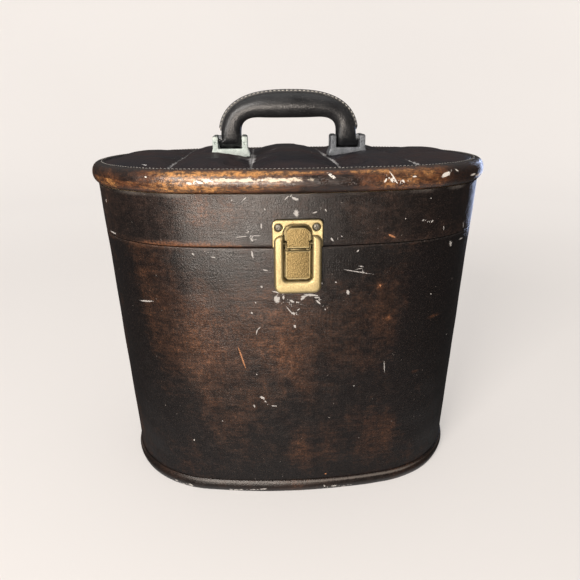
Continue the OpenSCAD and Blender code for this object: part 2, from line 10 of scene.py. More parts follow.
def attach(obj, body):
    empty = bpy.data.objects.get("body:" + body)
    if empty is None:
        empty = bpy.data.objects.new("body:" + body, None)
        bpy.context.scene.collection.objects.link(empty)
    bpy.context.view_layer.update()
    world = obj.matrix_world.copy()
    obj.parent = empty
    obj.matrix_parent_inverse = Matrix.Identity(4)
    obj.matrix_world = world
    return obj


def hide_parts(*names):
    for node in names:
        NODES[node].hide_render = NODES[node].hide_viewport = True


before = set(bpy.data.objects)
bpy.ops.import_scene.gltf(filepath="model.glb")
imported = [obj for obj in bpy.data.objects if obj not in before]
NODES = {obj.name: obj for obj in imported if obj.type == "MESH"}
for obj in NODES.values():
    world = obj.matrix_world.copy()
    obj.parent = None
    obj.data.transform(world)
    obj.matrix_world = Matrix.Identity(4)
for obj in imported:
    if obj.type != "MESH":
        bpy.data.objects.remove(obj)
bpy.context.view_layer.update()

MM = 0.001
pi, sin, cos = math.pi, math.sin, math.cos

# The case's own sizes
HALF_W, HALF_D, BOW = 145.0, 94.0, 5.0
END_R = HALF_D - BOW
END_X = HALF_W - END_R
SIDE_R = (END_X ** 2 / (HALF_D - END_R) + END_R + HALF_D) / 2
SIDE_Y = SIDE_R - HALF_D
JOIN = math.atan2(SIDE_Y, END_X)
LEAN = 0.04
LEAN_A = math.atan(LEAN)
SEAM, RIM, ROLL_H = 201.0, 236.0, 15.0
RIM_LEAN = (RIM - SEAM) * LEAN
ROLL_OUT, ROLL_IN = 3.8, 2.5
# The lining's outer and inner face, in from the wall's outer face, and the hinges' distance from the middle
LINING_OUT, LINING_IN, HINGE_X = 4.2, 5.0, 38
PAD_Z, PAD_LOW, PAD_PUFF = 240.2, 9.6, 6.0
PAD_OUT = RIM_LEAN - 5.7
PAD_END = HALF_W + PAD_OUT - 0.4
CHANNELS = (-83, -29, 29, 83)
FOOT_Z, PIN_Z, LEG_X, LEG_W, LEG_D = 251.3, 263.8, 45.65, 17.7, 12.6
WELT_H = 2.0


# ---------------------------------------------------------------- camera, stage and light, in metres

def make_camera():
    """The camera that was fitted to the photo: 520 px of focal length on its 580 px frame."""
    data = bpy.data.cameras.new("camera")
    data.sensor_width = 36
    data.lens = data.sensor_width * 520 / 580
    data.clip_start, data.clip_end = 0.01, 20
    cam = bpy.data.objects.new("camera", data)
    bpy.context.scene.collection.objects.link(cam)
    place = (-0.02265, -0.42282, 0.28809)
    right = Vector((0.9984, -0.05597, -0.00848))
    up = Vector((0.02665, 0.33253, 0.94272))
    back = right.cross(up)
    cam.matrix_world = Matrix([*zip(right, up, back, place), (0, 0, 0, 1)])
    bpy.context.scene.camera = cam


def area_light(name, place, aim, size, watts, colour=(1, 1, 1)):
    data = bpy.data.lights.new(name, "AREA")
    data.shape, data.size, data.size_y = "RECTANGLE", *size
    data.energy, data.color = watts, colour
    lamp = bpy.data.objects.new(name, data)
    bpy.context.scene.collection.objects.link(lamp)
    lamp.location = place
    lamp.rotation_euler = (Vector(aim) - Vector(place)).to_track_quat("-Z", "Y").to_euler()
    return lamp


# ---------------------------------------------------------------- materials

def shade(base, k):
    return tuple(min(1, c * k) for c in base)


class Look:
    """A node-based material. Lengths in its textures are in mm of the object's own space."""

    def __init__(self, name, **fixed):
        self.mat = bpy.data.materials.new(name)
        self.mat.use_nodes = True
        self.tree = self.mat.node_tree
        self.tree.nodes.clear()
        out = self.tree.nodes.new("ShaderNodeOutputMaterial")
        self.bsdf = self.tree.nodes.new("ShaderNodeBsdfPrincipled")
        self.tree.links.new(self.bsdf.outputs[0], out.inputs[0])
        self.set(**fixed)
        coord = self.tree.nodes.new("ShaderNodeTexCoord")
        self.p = self.vec("SCALE", coord.outputs["Object"], scale=1 / MM)

    def put(self, socket, value):
        if isinstance(value, bpy.types.NodeSocket):
            self.tree.links.new(value, socket)
        elif value is not None:
            if isinstance(value, tuple) and len(value) == 3 and socket.type == "RGBA":
                value = (*value, 1)
            socket.default_value = value

    def set(self, **inputs):
        for key, value in inputs.items():
            self.put(self.bsdf.inputs[key.replace("_", " ")], value)
        return self

    def node(self, kind, props=None, out=0, **inputs):
        n = self.tree.nodes.new("ShaderNode" + kind)
        for key, value in (props or {}).items():
            setattr(n, key, value)
        for key, value in inputs.items():
            self.put(n.inputs[int(key[1:]) if key[1:].isdigit() else key], value)
        return n.outputs[out]

    def math(self, op, a, b=None, c=None):
        return self.node("Math", {"operation": op}, i0=a, i1=b, i2=c)

    def mul(self, a, b):
        return self.math("MULTIPLY", a, b)

    def sub(self, a, b):
        return self.math("SUBTRACT", a, b)

    def total(self, start, *terms):
        """Adds each term's value times its weight to start."""
        for value, weight in terms:
            start = self.math("MULTIPLY_ADD", value, weight, start)
        return start

    def vec(self, op, a, b=None, scale=None):
        n = self.tree.nodes.new("ShaderNodeVectorMath")
        n.operation = op
        self.put(n.inputs[0], a)
        self.put(n.inputs[1], b)
        if scale is not None:
            self.put(n.inputs["Scale"], scale)
        return n.outputs["Value" if op == "LENGTH" else "Vector"]

    def axes(self, vector=None):
        return tuple(self.node("SeparateXYZ", i0=self.p if vector is None else vector).node.outputs)

    def at(self, size, stretch, away):
        return self.vec("ADD", self.vec("MULTIPLY", self.p, tuple(s / size for s in stretch)), away)

    def noise(self, size, detail=3.0, rough=0.5, stretch=(1, 1, 1), seed=0.0, warp=0.0):
        """Noise with features of about size mm, from 0 to 1."""
        at = self.at(size, stretch, (seed, seed * 1.7, seed * 0.6))
        return self.node("TexNoise", Vector=at, Scale=1.0, Detail=detail, Roughness=rough, Distortion=warp)

    def cells(self, size, feature, seed):
        at = self.at(size, (1, 1, 1), (seed, seed * 1.3, seed * 0.7))
        return self.node("TexVoronoi", {"feature": feature}, Vector=at, Scale=1.0)

    def ramp(self, value, low, high, a=0.0, b=1.0):
        """Maps low..high to a..b, smoothly and clamped."""
        return self.node("MapRange", {"interpolation_type": "SMOOTHSTEP", "clamp": True},
                         i0=value, i1=low, i2=high, i3=a, i4=b)

    def coats(self, colour, *coats):
        """Lays tints over a colour, each given as (share, tint)."""
        for share, tint in coats:
            colour = self.node("Mix", {"data_type": "RGBA"}, out=2, i0=share, i6=colour, i7=tint)
        return colour

    def layer(self, name):
        return self.node("Attribute", {"attribute_name": name}, out=2)

    def chips(self, ragged, low, high, seed=0.0):
        """1 on the mesh's marks, with ragged edges, and 0 off them."""
        along, across, near = self.axes(self.node("Attribute", {"attribute_name": "mark"}, out=1))
        away = self.vec("LENGTH", self.node("CombineXYZ", i0=along, i1=across))
        field = self.math("MINIMUM", self.sub(1.0, away), near)
        rough = self.sub(self.noise(1.1, 4, 0.8, seed=seed + 2.2), 0.5)
        return self.mul(self.ramp(self.total(field, (rough, ragged)), low, high), self.ramp(near, 0.0, 0.4))

    def bump(self, height, strength, mm, normal=None):
        return self.node("Bump", Height=height, Strength=strength, Distance=mm * MM, Normal=normal)


def case_leather(name, dark, mid, worn, bias=0.0, grain=0.5, rough=0.42, seed=0.0):
    """Worn leather cloth: black with red-brown patches, fine woven grain, scuffs, specks and flaked spots."""
    look = Look(name, Specular_IOR_Level=0.3, IOR=1.48)
    cloud = look.noise(48, 4, 0.62, (1, 1, 0.7), seed + 3.1, 0.5)
    streak = look.noise(17, 4, 0.62, (1, 1, 0.3), seed + 7.3)
    mottle = look.noise(8.5, 5, 0.72, (1, 1, 1.5), seed + 1.9, 0.6)
    weft = look.noise(2.6, 4, 0.72, (0.22, 0.22, 1.7), seed + 4.7)
    warp = look.noise(2.6, 4, 0.72, (1.7, 1.7, 0.18), seed + 8.1)
    fleck = look.noise(1.3, 3, 0.75, seed=seed + 5.2)
    fine = look.noise(0.7, 2, 0.6, seed=seed + 9.4)
    dust_and_highlight = look.layer("dust_and_highlight")
    # The worn layer's negative patches, less brown leather, are partly painted shade.
    share = look.total(bias, (cloud, 0.95), (streak, 0.35), (mottle, 0.75), (weft, 0.5), (warp, 0.28),
                       (look.layer("worn"), 0.34))
    hot = look.ramp(look.total(share, (fleck, 0.5)), 1.86, 2.42)
    # This pale coat is dust, and partly a painted highlight, as on the base ring's upper line and the roll's
    # flakes.
    dust_and_highlight_share = look.mul(look.ramp(look.total(dust_and_highlight, (fleck, 0.55)), 0.5, 1.15), 0.5)
    # Specks in loose clusters, and the larger flaked marks
    crowd = look.noise(30, 3, 0.6, seed=seed + 6.6)
    speck = look.total(look.noise(1.7, 1, 0.5, (1, 1, 0.7), seed + 11.3), (crowd, 0.3), (dust_and_highlight, 0.08))
    speck = look.mul(look.ramp(speck, 0.95, 0.98), 0.6)
    chip = look.chips(1.8, 0.2, 0.42, seed)
    chip_colour = look.coats((0.23, 0.22, 0.21), (look.layer("scratch"), (0.2, 0.085, 0.035)))
    colour = look.coats(dark, (look.ramp(share, 1.28, 1.98), mid), (look.mul(hot, 0.9), worn),
                        (look.ramp(fleck, 0.38, 0.6, 0.6, 0.0), shade(dark, 0.4)),
                        (look.ramp(fine, 0.54, 0.74, 0.0, 0.2), (0.075, 0.05, 0.038)),
                        (dust_and_highlight_share, (0.11, 0.096, 0.085)),
                        (look.mul(speck, 0.8), (0.17, 0.15, 0.135)), (look.mul(chip, 0.9), chip_colour))
    roughness = look.ramp(mottle, 0.3, 0.75, rough - 0.05, rough + 0.08)
    roughness = look.total(roughness, (dust_and_highlight_share, 0.15), (chip, 0.25))
    pores = look.cells(0.8, "SMOOTH_F1", seed)
    height = look.total(look.mul(pores, 0.7), (fine, 1.0), (look.math("ADD", weft, warp), 1.0))
    normal = look.bump(height, grain, 0.2)
    normal = look.bump(look.noise(30, 3, 0.5, (1, 1, 0.6), seed + 4), 0.3, 0.9, normal)
    normal = look.bump(look.mul(chip, -1.0), 0.7, 0.3, normal)
    return look.set(Base_Color=colour, Roughness=roughness, Normal=normal)


def roll_leather():
    """Polished red-brown leather of the rim roll, rubbed to gold, with black patches, partly painted shade, and
    pale flakes, partly a painted highlight.
    """
    look = Look("roll_leather", Specular_IOR_Level=0.4, Coat_Weight=0.12, Coat_Roughness=0.2, IOR=1.5)
    cloud = look.noise(30, 4, 0.6, (1, 1, 1.6), 2.1)
    patch = look.noise(8, 5, 0.7, (1, 1, 1.4), 8.8)
    fleck = look.noise(1.7, 4, 0.75, seed=4.4)
    fine = look.noise(0.8, 2, 0.6, seed=6.1)
    share = look.total(look.mul(cloud, 0.6), (patch, 0.7), (look.layer("worn"), 0.5))
    # Dark crackle along the wear, and pale flakes where the finish has gone, those in the front's middle partly
    # a painted highlight
    crack = look.ramp(look.noise(3.0, 5, 0.78, (0.55, 0.55, 1.6), 6.6), 0.41, 0.55, 0.88, 0.0)
    scale = look.noise(4.2, 5, 0.78, (0.7, 0.7, 1.3), 3.9)
    flakes_and_highlight = look.ramp(look.total(look.layer("dust_and_highlight"), (scale, 1.1)), 0.98, 1.12)
    colour = look.coats((0.0065, 0.0045, 0.004), (look.ramp(share, 0.55, 0.82), (0.07, 0.026, 0.01)),
                        (look.ramp(share, 0.8, 1.12), (0.34, 0.16, 0.048)), (crack, (0.02, 0.009, 0.005)),
                        (look.ramp(fleck, 0.4, 0.6, 0.5, 0.0), (0.012, 0.006, 0.0045)),
                        (look.mul(flakes_and_highlight, 0.85), (0.42, 0.36, 0.28)),
                        (look.mul(look.chips(1.4, 0.15, 0.36), 0.9), (0.42, 0.4, 0.37)))
    roughness = look.total(look.ramp(patch, 0.3, 0.7, 0.26, 0.42), (flakes_and_highlight, 0.2))
    normal = look.bump(look.total(fleck, (crack, -0.6), (fine, 0.5)), 0.35, 0.3)
    normal = look.bump(look.noise(11, 3, 0.55, (1, 1, 0.7), 3), 0.35, 1.0, normal)
    return look.set(Base_Color=colour, Roughness=roughness, Normal=normal)


def pad_leather():
    """Soft black-brown leather cloth of the quilted top, creased and rubbed grey along the seams."""
    look = Look("pad_leather", Specular_IOR_Level=0.22, IOR=1.46)
    cloud = look.noise(40, 4, 0.6, seed=5.5)
    fine = look.noise(0.9, 3, 0.65, seed=2.5)
    scuff = look.noise(3.2, 4, 0.75, (1, 0.5, 1), 7.7)
    rub = look.ramp(look.total(look.layer("dust_and_highlight"), (scuff, 0.9)), 0.8, 1.2)
    ragged = look.sub(look.noise(1.4, 3, 0.7, seed=1.2), 0.5)
    chip = look.ramp(look.total(look.layer("marks"), (ragged, 1.5)), 0.12, 0.34)
    colour = look.coats((0.009, 0.0075, 0.01), (look.ramp(cloud, 0.35, 0.7), (0.022, 0.0125, 0.012)),
                        (look.mul(rub, 0.85), (0.34, 0.33, 0.33)), (look.mul(chip, 0.9), (0.45, 0.44, 0.43)))
    creases = look.cells(6.5, "DISTANCE_TO_EDGE", 3.3)
    height = look.total(look.ramp(creases, 0.0, 0.12, 0.0, 0.5), (fine, 0.5))
    normal = look.bump(height, 0.3, 0.3)
    normal = look.bump(look.noise(13, 4, 0.6, seed=9.1), 0.45, 1.4, normal)
    roughness = look.total(look.ramp(cloud, 0.3, 0.7, 0.42, 0.56), (rub, 0.3))
    return look.set(Base_Color=colour, Roughness=roughness, Normal=normal)


def grip_leather(name="grip_leather", base=(0.006, 0.006, 0.0065), rough=0.32, grain=0.45):
    """Black pebble-grained leather of the handle, its grain worn a little all over."""
    look = Look(name, Specular_IOR_Level=0.38, IOR=1.5)
    pores = look.cells(1.0, "SMOOTH_F1", 1.1)
    fine = look.noise(0.6, 3, 0.7, seed=3.4)
    cloud = look.noise(16, 4, 0.6, seed=2.2)
    rub = look.ramp(look.noise(1.5, 3, 0.75, seed=6.6), 0.55, 0.8, 0.0, 0.3)
    colour = look.coats(base, (look.ramp(cloud, 0.3, 0.75), shade(base, 2.1)),
                        (look.ramp(pores, 0.5, 0.85, 0.0, 0.3), (0.03, 0.029, 0.028)),
                        (rub, (0.16, 0.155, 0.15)))
    return look.set(Base_Color=colour, Roughness=look.ramp(cloud, 0.3, 0.7, rough - 0.06, rough + 0.08),
                    Normal=look.bump(look.total(pores, (fine, 0.5)), grain, 0.3))


def antique_brass(name, pebble=None, tone=1.0):
    """Antique brass. pebble gives the half width, top and bottom of a pebble-grained field, on the front."""
    look = Look(name, Metallic=1.0)
    cloud = look.noise(7, 4, 0.65, seed=2.8)
    fine = look.noise(0.9, 4, 0.75, seed=5.1)
    grit = look.noise(1.7, 3, 0.6, seed=7.9)
    bright = shade((0.62, 0.505, 0.27), tone)
    colour = look.coats(bright, (look.ramp(cloud, 0.3, 0.75), shade(bright, 0.82)),
                        (look.ramp(fine, 0.34, 0.6, 0.42, 0.0), (0.2, 0.14, 0.06)))
    height, strength = look.total(grit, (fine, 0.5)), 0.22
    if pebble is not None:
        half, top, low = pebble
        x, _, z = look.axes()
        room = [look.ramp(look.sub(*pair), -0.1, 0.25)
                for pair in ((half, look.math("ABSOLUTE", x)), (top, z), (z, low))]
        inside = look.mul(look.mul(room[0], room[1]), room[2])
        stones = look.node("TexVoronoi", {"feature": "SMOOTH_F1"}, Vector=look.p, Scale=1.15, Smoothness=0.4)
        field = look.mul(inside, look.total(grit, (stones, 1.2)))
        pits = look.mul(inside, look.ramp(look.total(fine, (stones, 0.6)), 0.45, 1.0))
        colour = look.coats(colour, (look.mul(inside, 0.88), (0.27, 0.2, 0.088)),
                            (look.mul(pits, 0.7), (0.1, 0.066, 0.026)))
        height, strength = look.total(look.mul(height, 0.5), (field, -1.1)), 0.55
    return look.set(Base_Color=colour, Roughness=look.ramp(fine, 0.3, 0.7, 0.62, 0.48),
                    Normal=look.bump(height, strength, 0.3))


def rough_metal(name, base, edge, metallic, rough):
    """Cast bracket metal, pitted, with a worn tone, and its ear tops painted dark as shade."""
    look = Look(name, Metallic=metallic)
    cloud = look.noise(5, 4, 0.65, seed=6.2)
    fine = look.noise(0.9, 4, 0.75, seed=3.3)
    # Above the pin the ears turn near black: painted shade.
    painted_shade_low, painted_shade_full = PIN_Z + 1.5, PIN_Z + 3.1
    colour = look.coats(base, (look.ramp(cloud, 0.3, 0.7), edge),
                        (look.ramp(fine, 0.3, 0.55, 0.45, 0.0), shade(base, 0.45)),
                        (look.ramp(look.axes()[2], painted_shade_low, painted_shade_full, 0.0, 0.85), (0.012, 0.014, 0.015)))
    return look.set(Base_Color=colour, Roughness=look.ramp(fine, 0.3, 0.7, rough + 0.12, rough - 0.08),
                    Normal=look.bump(look.total(cloud, (fine, 0.8)), 0.5, 0.45))


def plain_steel(name="plain_steel", base=(0.42, 0.42, 0.42), rough=0.28):
    look = Look(name, Metallic=1.0)
    fine = look.noise(1.2, 4, 0.7, (1, 1, 0.3), 1.5)
    return look.set(Base_Color=look.coats(base, (look.ramp(fine, 0.3, 0.7), shade(base, 0.6))),
                    Roughness=look.ramp(fine, 0.3, 0.7, rough, rough + 0.17), Normal=look.bump(fine, 0.2, 0.1))


def woven_cloth(name, base, thread=0.9):
    """Plain weave: two sets of threads round and up the wall, with slubs."""
    look = Look(name, Sheen_Weight=0.25, Specular_IOR_Level=0.2)
    x, y, z = look.axes()
    ways = look.math("ADD", x, y), look.math("ADD", z, look.sub(x, y))
    weave = look.mul(*(look.math("SINE", look.mul(way, 2 * pi / thread)) for way in ways))
    slub = look.noise(5, 4, 0.6, (1, 1, 6), 3.3)
    stain = look.noise(45, 4, 0.6, seed=1.4)
    colour = look.coats(shade(base, 0.55), (look.ramp(weave, -0.8, 0.9), base),
                        (look.ramp(slub, 0.45, 0.75, 0.0, 0.4), shade(base, 1.35)),
                        (look.ramp(stain, 0.45, 0.8, 0.0, 0.35), shade(base, 0.5)))
    return look.set(Base_Color=colour, Roughness=look.ramp(slub, 0.3, 0.7, 0.78, 0.92),
                    Normal=look.bump(look.total(weave, (slub, 0.4)), 0.4, 0.25))


def fibre_board():
    look = Look("fibre_board", Specular_IOR_Level=0.25)
    fibre = look.noise(4, 5, 0.7, (1, 1, 3), 4.2)
    speck = look.noise(0.9, 3, 0.7, seed=8.3)
    colour = look.coats((0.3, 0.2, 0.11), (look.ramp(fibre, 0.3, 0.7), (0.46, 0.34, 0.2)),
                        (look.ramp(speck, 0.3, 0.5, 0.5, 0.0), (0.12, 0.075, 0.04)))
    return look.set(Base_Color=colour, Roughness=look.ramp(fibre, 0.3, 0.7, 0.7, 0.88),
                    Normal=look.bump(speck, 0.3, 0.3))


def thread(name, base):
    look = Look(name, Specular_IOR_Level=0.3, Sheen_Weight=0.2)
    twist = look.noise(0.6, 2, 0.5, seed=2.0)
    return look.set(Base_Color=look.coats(shade(base, 0.5), (look.ramp(twist, 0.35, 0.65), base)),
                    Roughness=look.ramp(twist, 0.3, 0.7, 0.6, 0.8), Normal=look.bump(twist, 0.4, 0.15))


# ---------------------------------------------------------------- mesh builders

def fade(v, low, high):
    """Goes from 0 at low to 1 at high."""
    return np.clip((v - low) / (high - low), 0, 1)


def ease(t):
    return t * t * (3 - 2 * t)


def bell(v, middle, width, power=2):
    return np.exp(-((v - middle) / width) ** power)


def oval(n_end=110, n_side=64):
    """Stations round the oval at the seam: x, y and the outward direction, counter-clockwise from above."""
    rows = []
    for cx, cy, r, a0, a1, n in ((END_X, 0, END_R, -JOIN, JOIN, n_end),
                                 (0, -SIDE_Y, SIDE_R, JOIN, pi - JOIN, n_side),
                                 (-END_X, 0, END_R, pi - JOIN, pi + JOIN, n_end),
                                 (0, SIDE_Y, SIDE_R, pi + JOIN, 2 * pi - JOIN, n_side)):
        a = a0 + (a1 - a0) * np.arange(n) / n
        rows.append(np.c_[cx + r * np.cos(a), cy + r * np.sin(a), np.cos(a), np.sin(a)])
    return np.vstack(rows)


def half_depth(x, off=0.0):
    """Half the oval's depth at distance x from the middle, grown by off."""
    x = np.abs(np.asarray(x, float))
    side = np.sqrt(np.maximum((SIDE_R + off) ** 2 - x ** 2, 0)) - SIDE_Y
    end = np.sqrt(np.maximum((END_R + off) ** 2 - (x - END_X) ** 2, 0))
    return np.where(x <= (SIDE_R + off) * cos(JOIN), side, end)


def shift(z):
    return (z - SEAM) * LEAN


def rounded(points, radii, steps=5):
    """Rounds the corners of a closed section."""
    made, n = [], len(points)
    for i, (p, r) in enumerate(zip(points, radii)):
        p = np.array(p, float)
        if r <= 0:
            made.append(p)
            continue
        a, b = np.array(points[i - 1], float) - p, np.array(points[(i + 1) % n], float) - p
        a, b = a / np.linalg.norm(a), b / np.linalg.norm(b)
        half = math.acos(max(-1, min(1, float(a @ b)))) / 2
        reach = r / math.tan(half)
        centre = p + (a + b) / np.linalg.norm(a + b) * r / sin(half)
        v0, v1 = p + a * reach - centre, p + b * reach - centre
        a0 = math.atan2(v0[1], v0[0])
        turn = (math.atan2(v1[1], v1[0]) - a0 + pi) % (2 * pi) - pi
        made += [centre + r * np.array([cos(a0 + turn * k / steps), sin(a0 + turn * k / steps)])
                 for k in range(steps + 1)]
    return np.array(made)


def dense(section, step, closed=True):
    """Splits a section's long stretches."""
    made, n = [], len(section)
    for i in range(n if closed else n - 1):
        a, b = section[i], section[(i + 1) % n]
        k = max(1, int(math.ceil(np.linalg.norm(b - a) / step)))
        made += [a + (b - a) * j / k for j in range(k)]
    if not closed:
        made.append(section[-1])
    return np.array(made)


def smooth_noise(p, size, seed):
    """Soft noise from -1 to 1 at points in mm, as a sum of turned waves."""
    rng = np.random.default_rng(seed)
    total = np.zeros(len(p))
    for _ in range(9):
        way = rng.normal(size=3)
        way /= np.linalg.norm(way)
        k = 2 * pi / (size * rng.uniform(0.7, 1.6))
        total += np.sin(p @ way * k + rng.uniform(0, 2 * pi))
    return total / 3.5


def add_object(name, mesh, looks, sharp):
    if sharp is not None:
        mesh.set_sharp_from_angle(angle=math.radians(sharp))
    for look in looks:
        mesh.materials.append(look.mat)
    obj = bpy.data.objects.new(name, mesh)
    bpy.context.scene.collection.objects.link(obj)
    return obj


def new_mesh(name, verts, faces, look, sharp=None):
    """A smooth object from points in mm."""
    mesh = bpy.data.meshes.new(name)
    mesh.from_pydata((np.asarray(verts, float) * MM).tolist(), [], [tuple(map(int, f)) for f in faces])
    mesh.validate()
    bm = bmesh.new()
    bm.from_mesh(mesh)
    bmesh.ops.recalc_face_normals(bm, faces=bm.faces)
    bm.to_mesh(mesh)
    bm.free()
    mesh.polygons.foreach_set("use_smooth", [True] * len(mesh.polygons))
    return add_object(name, mesh, (look,), sharp)


def from_bm(name, bm, look, place=None, sharp=40):
    """An object from a bmesh in mm, moved to its place. look is one material or several."""
    bmesh.ops.recalc_face_normals(bm, faces=bm.faces)
    if place is not None:
        co = place(np.array([v.co for v in bm.verts]))
        for v, c in zip(bm.verts, co):
            v.co = c
    for v in bm.verts:
        v.co *= MM
    mesh = bpy.data.meshes.new(name)
    bm.to_mesh(mesh)
    bm.free()
    return add_object(name, mesh, look if isinstance(look, tuple) else (look,), sharp)


def grid_faces(n, m, round_n=False, round_m=True):
    """Quads between n rows of m points each. A round side joins its last points to its first."""
    across = m if round_m else m - 1
    i, j = np.divmod(np.arange((n if round_n else n - 1) * across), across)
    i2, j2 = (i + 1) % n, (j + 1) % m
    return np.c_[i * m + j, i * m + j2, i2 * m + j2, i2 * m + j]


def tube(name, verts, n, m, look, sharp):
    """A closed tube of n rings of m points each, capped at its ends."""
    faces = [*grid_faces(n, m), range(m), range((n - 1) * m, n * m)]
    return new_mesh(name, verts, faces, look, sharp)


def band(name, section, look, n_end=110, n_side=64, move=None):
    """A closed band round the oval from a section of (out, z). move(points, out) shifts points outward."""
    st = oval(n_end, n_side)
    out, z = section[:, 0], section[:, 1]
    xy = st[:, None, :2] + out[None, :, None] * st[:, None, 2:]
    p = np.concatenate([xy, np.broadcast_to(z[None, :, None], (*xy.shape[:2], 1))], 2).reshape(-1, 3)
    way = np.repeat(np.c_[st[:, 2:], np.zeros(len(st))], len(section), 0)
    if move is not None:
        p = p + way * move(p, np.tile(out, len(st)))[:, None]
    return new_mesh(name, p, grid_faces(len(st), len(section), round_n=True), look, sharp=50)


def points_of(obj):
    co = np.zeros(len(obj.data.vertices) * 3, np.float32)
    obj.data.vertices.foreach_get("co", co)
    return co.reshape(-1, 3).astype(float) / MM


def bake_modifiers(obj):
    """Replaces obj's mesh by its evaluated one."""
    bpy.context.view_layer.update()
    mesh = bpy.data.meshes.new_from_object(obj.evaluated_get(bpy.context.evaluated_depsgraph_get()))
    obj.modifiers.clear()
    obj.data = mesh


def carve(obj, cutter, sharp, use_self=False):
    """Cuts one closed solid from another and drops it."""
    cut = obj.modifiers.new("cut", "BOOLEAN")
    cut.operation, cut.object, cut.solver, cut.use_self = "DIFFERENCE", cutter, "EXACT", use_self
    bake_modifiers(obj)
    bpy.data.objects.remove(cutter)
    obj.data.set_sharp_from_angle(angle=math.radians(sharp))


def frontal(p):
    """1 on the front half, 0 on the back half, with a soft change round the ends."""
    return ease(np.clip(0.5 - p[:, 1] / 50, 0, 1))


def set_layer(obj, name, values):
    layer = obj.data.attributes.get(name) or obj.data.attributes.new(name, "FLOAT", "POINT")
    layer.data.foreach_set("value", np.asarray(values, np.float32))


def mark_layer(obj, marks, out=0.0):
    """Stores each vertex's place in its nearest mark's ellipse: along, across, and nearness, 1 to 0."""
    p = points_of(obj)
    best, vals = np.full(len(p), 1e9), np.zeros((len(p), 3))
    for x0, z0, x1, z1, r, *side in marks:
        s = side[0] if side else -1
        a = np.array([x0, s * float(half_depth(x0, out + shift(min(z0, RIM)))), z0])
        b = np.array([x1, s * float(half_depth(x1, out + shift(min(z1, RIM)))), z1])
        mid, d = (a + b) / 2, b - a
        h = np.linalg.norm(d) / 2
        d /= 2 * h
        across = np.cross([mid[0] / SIDE_R, s, 0], d)
        across /= np.linalg.norm(across)
        near = np.nonzero(np.abs(p - mid).max(1) < h + 12)[0]
        rel = p[near] - mid
        u, v, away = rel @ d, rel @ across, rel @ np.cross(d, across)
        gap = np.sqrt(np.maximum(np.abs(u) - h, 0) ** 2 + v ** 2 + away ** 2)
        mine = gap < best[near]
        best[near[mine]] = gap[mine]
        vals[near[mine]] = np.c_[u / (h + r), v / r, 1 - gap / 4][mine]
    layer = obj.data.attributes.new("mark", "FLOAT_VECTOR", "POINT")
    layer.data.foreach_set("vector", vals.astype(np.float32).ravel())


def blob_points(p, blobs):
    """Sum of soft blobs (x, z, half width, half height, strength, side) on the walls."""
    total = np.zeros(len(p))
    for x, z, rx, rz, k, *side in blobs:
        s = side[0] if side else -1
        y = s * float(half_depth(min(abs(x), HALF_W), shift(min(z, RIM))))
        flat = np.hypot(p[:, 0] - x, p[:, 1] - y) / rx
        total += k * np.exp(-(flat ** 2 + ((p[:, 2] - z) / rz) ** 2))
    return total


def random_marks(seed, n, z0, z1):
    """Small marks strewn over the back and sides, which the photograph doesn't show."""
    rng = np.random.default_rng(seed)
    made = []
    for _ in range(n):
        x, z = rng.uniform(-138, 138), rng.uniform(z0, z1)
        length, a = rng.uniform(0.5, 2.2) ** 2, rng.uniform(0, pi)
        x1 = max(-HALF_W, min(HALF_W, x + length * cos(a)))
        z_end = max(z0, min(z1, z + length * sin(a)))
        made.append((x, z, x1, z_end, rng.uniform(0.3, 0.9), 1))
    return made


def worn_back(seed, n, z0, z1):
    """Soft worn patches for the sides and back, in the style of the front's."""
    rng = np.random.default_rng(seed)
    return [(rng.uniform(-135, 135), rng.uniform(z0, z1), rng.uniform(8, 26), rng.uniform(8, 26),
             rng.uniform(-0.6, 0.75), 1) for _ in range(n)]


def run_of(line):
    """The distance of each point along a line of points."""
    return np.r_[0, np.cumsum(np.linalg.norm(np.diff(line, axis=0), axis=1))]


def sewn(line, pitch, length):
    """Start and end of each stitch along a line of points, with its number."""
    run = run_of(line)
    n = int(run[-1] / pitch)
    for i in range(n):
        start = run[-1] * i / n
        yield i, *(np.array([np.interp(s, run, line[:, k]) for k in (0, 1)]) for s in (start, start + length))


# ---------------------------------------------------------------- the plates of the latch and brackets

def on_front(p):
    """From the latch's own place (x, into the wall, up the wall) to the case."""
    x, y, z = p[:, 0], p[:, 1], p[:, 2]
    return np.c_[x, y * cos(LEAN_A) - z * sin(LEAN_A) - HALF_D, y * sin(LEAN_A) + z * cos(LEAN_A) + SEAM]


def corner_loop(right, steps=7, turn=1):
    """A closed outline with the same left and right half, from the right half's (x, z, radius) corners.

    It runs from the bottom up, and turn says how many of the left half's last corners come first."""
    corners = [*right, *((-x, z, r) for x, z, r in reversed(right))]
    corners = corners[-turn:] + corners[:-turn]
    return rounded([c[:2] for c in corners], [c[2] for c in corners], steps)


def inset(loop, d):
    """The loop moved inward by d. The loop runs counter-clockwise round its material."""
    nxt, prv = np.roll(loop, -1, 0), np.roll(loop, 1, 0)
    e0, e1 = loop - prv, nxt - loop
    n0 = np.c_[-e0[:, 1], e0[:, 0]] / np.linalg.norm(e0, axis=1)[:, None]
    n1 = np.c_[-e1[:, 1], e1[:, 0]] / np.linalg.norm(e1, axis=1)[:, None]
    m = n0 + n1
    m /= np.linalg.norm(m, axis=1)[:, None]
    return loop + m * (d / np.maximum((m * n0).sum(1), 0.4))[:, None]


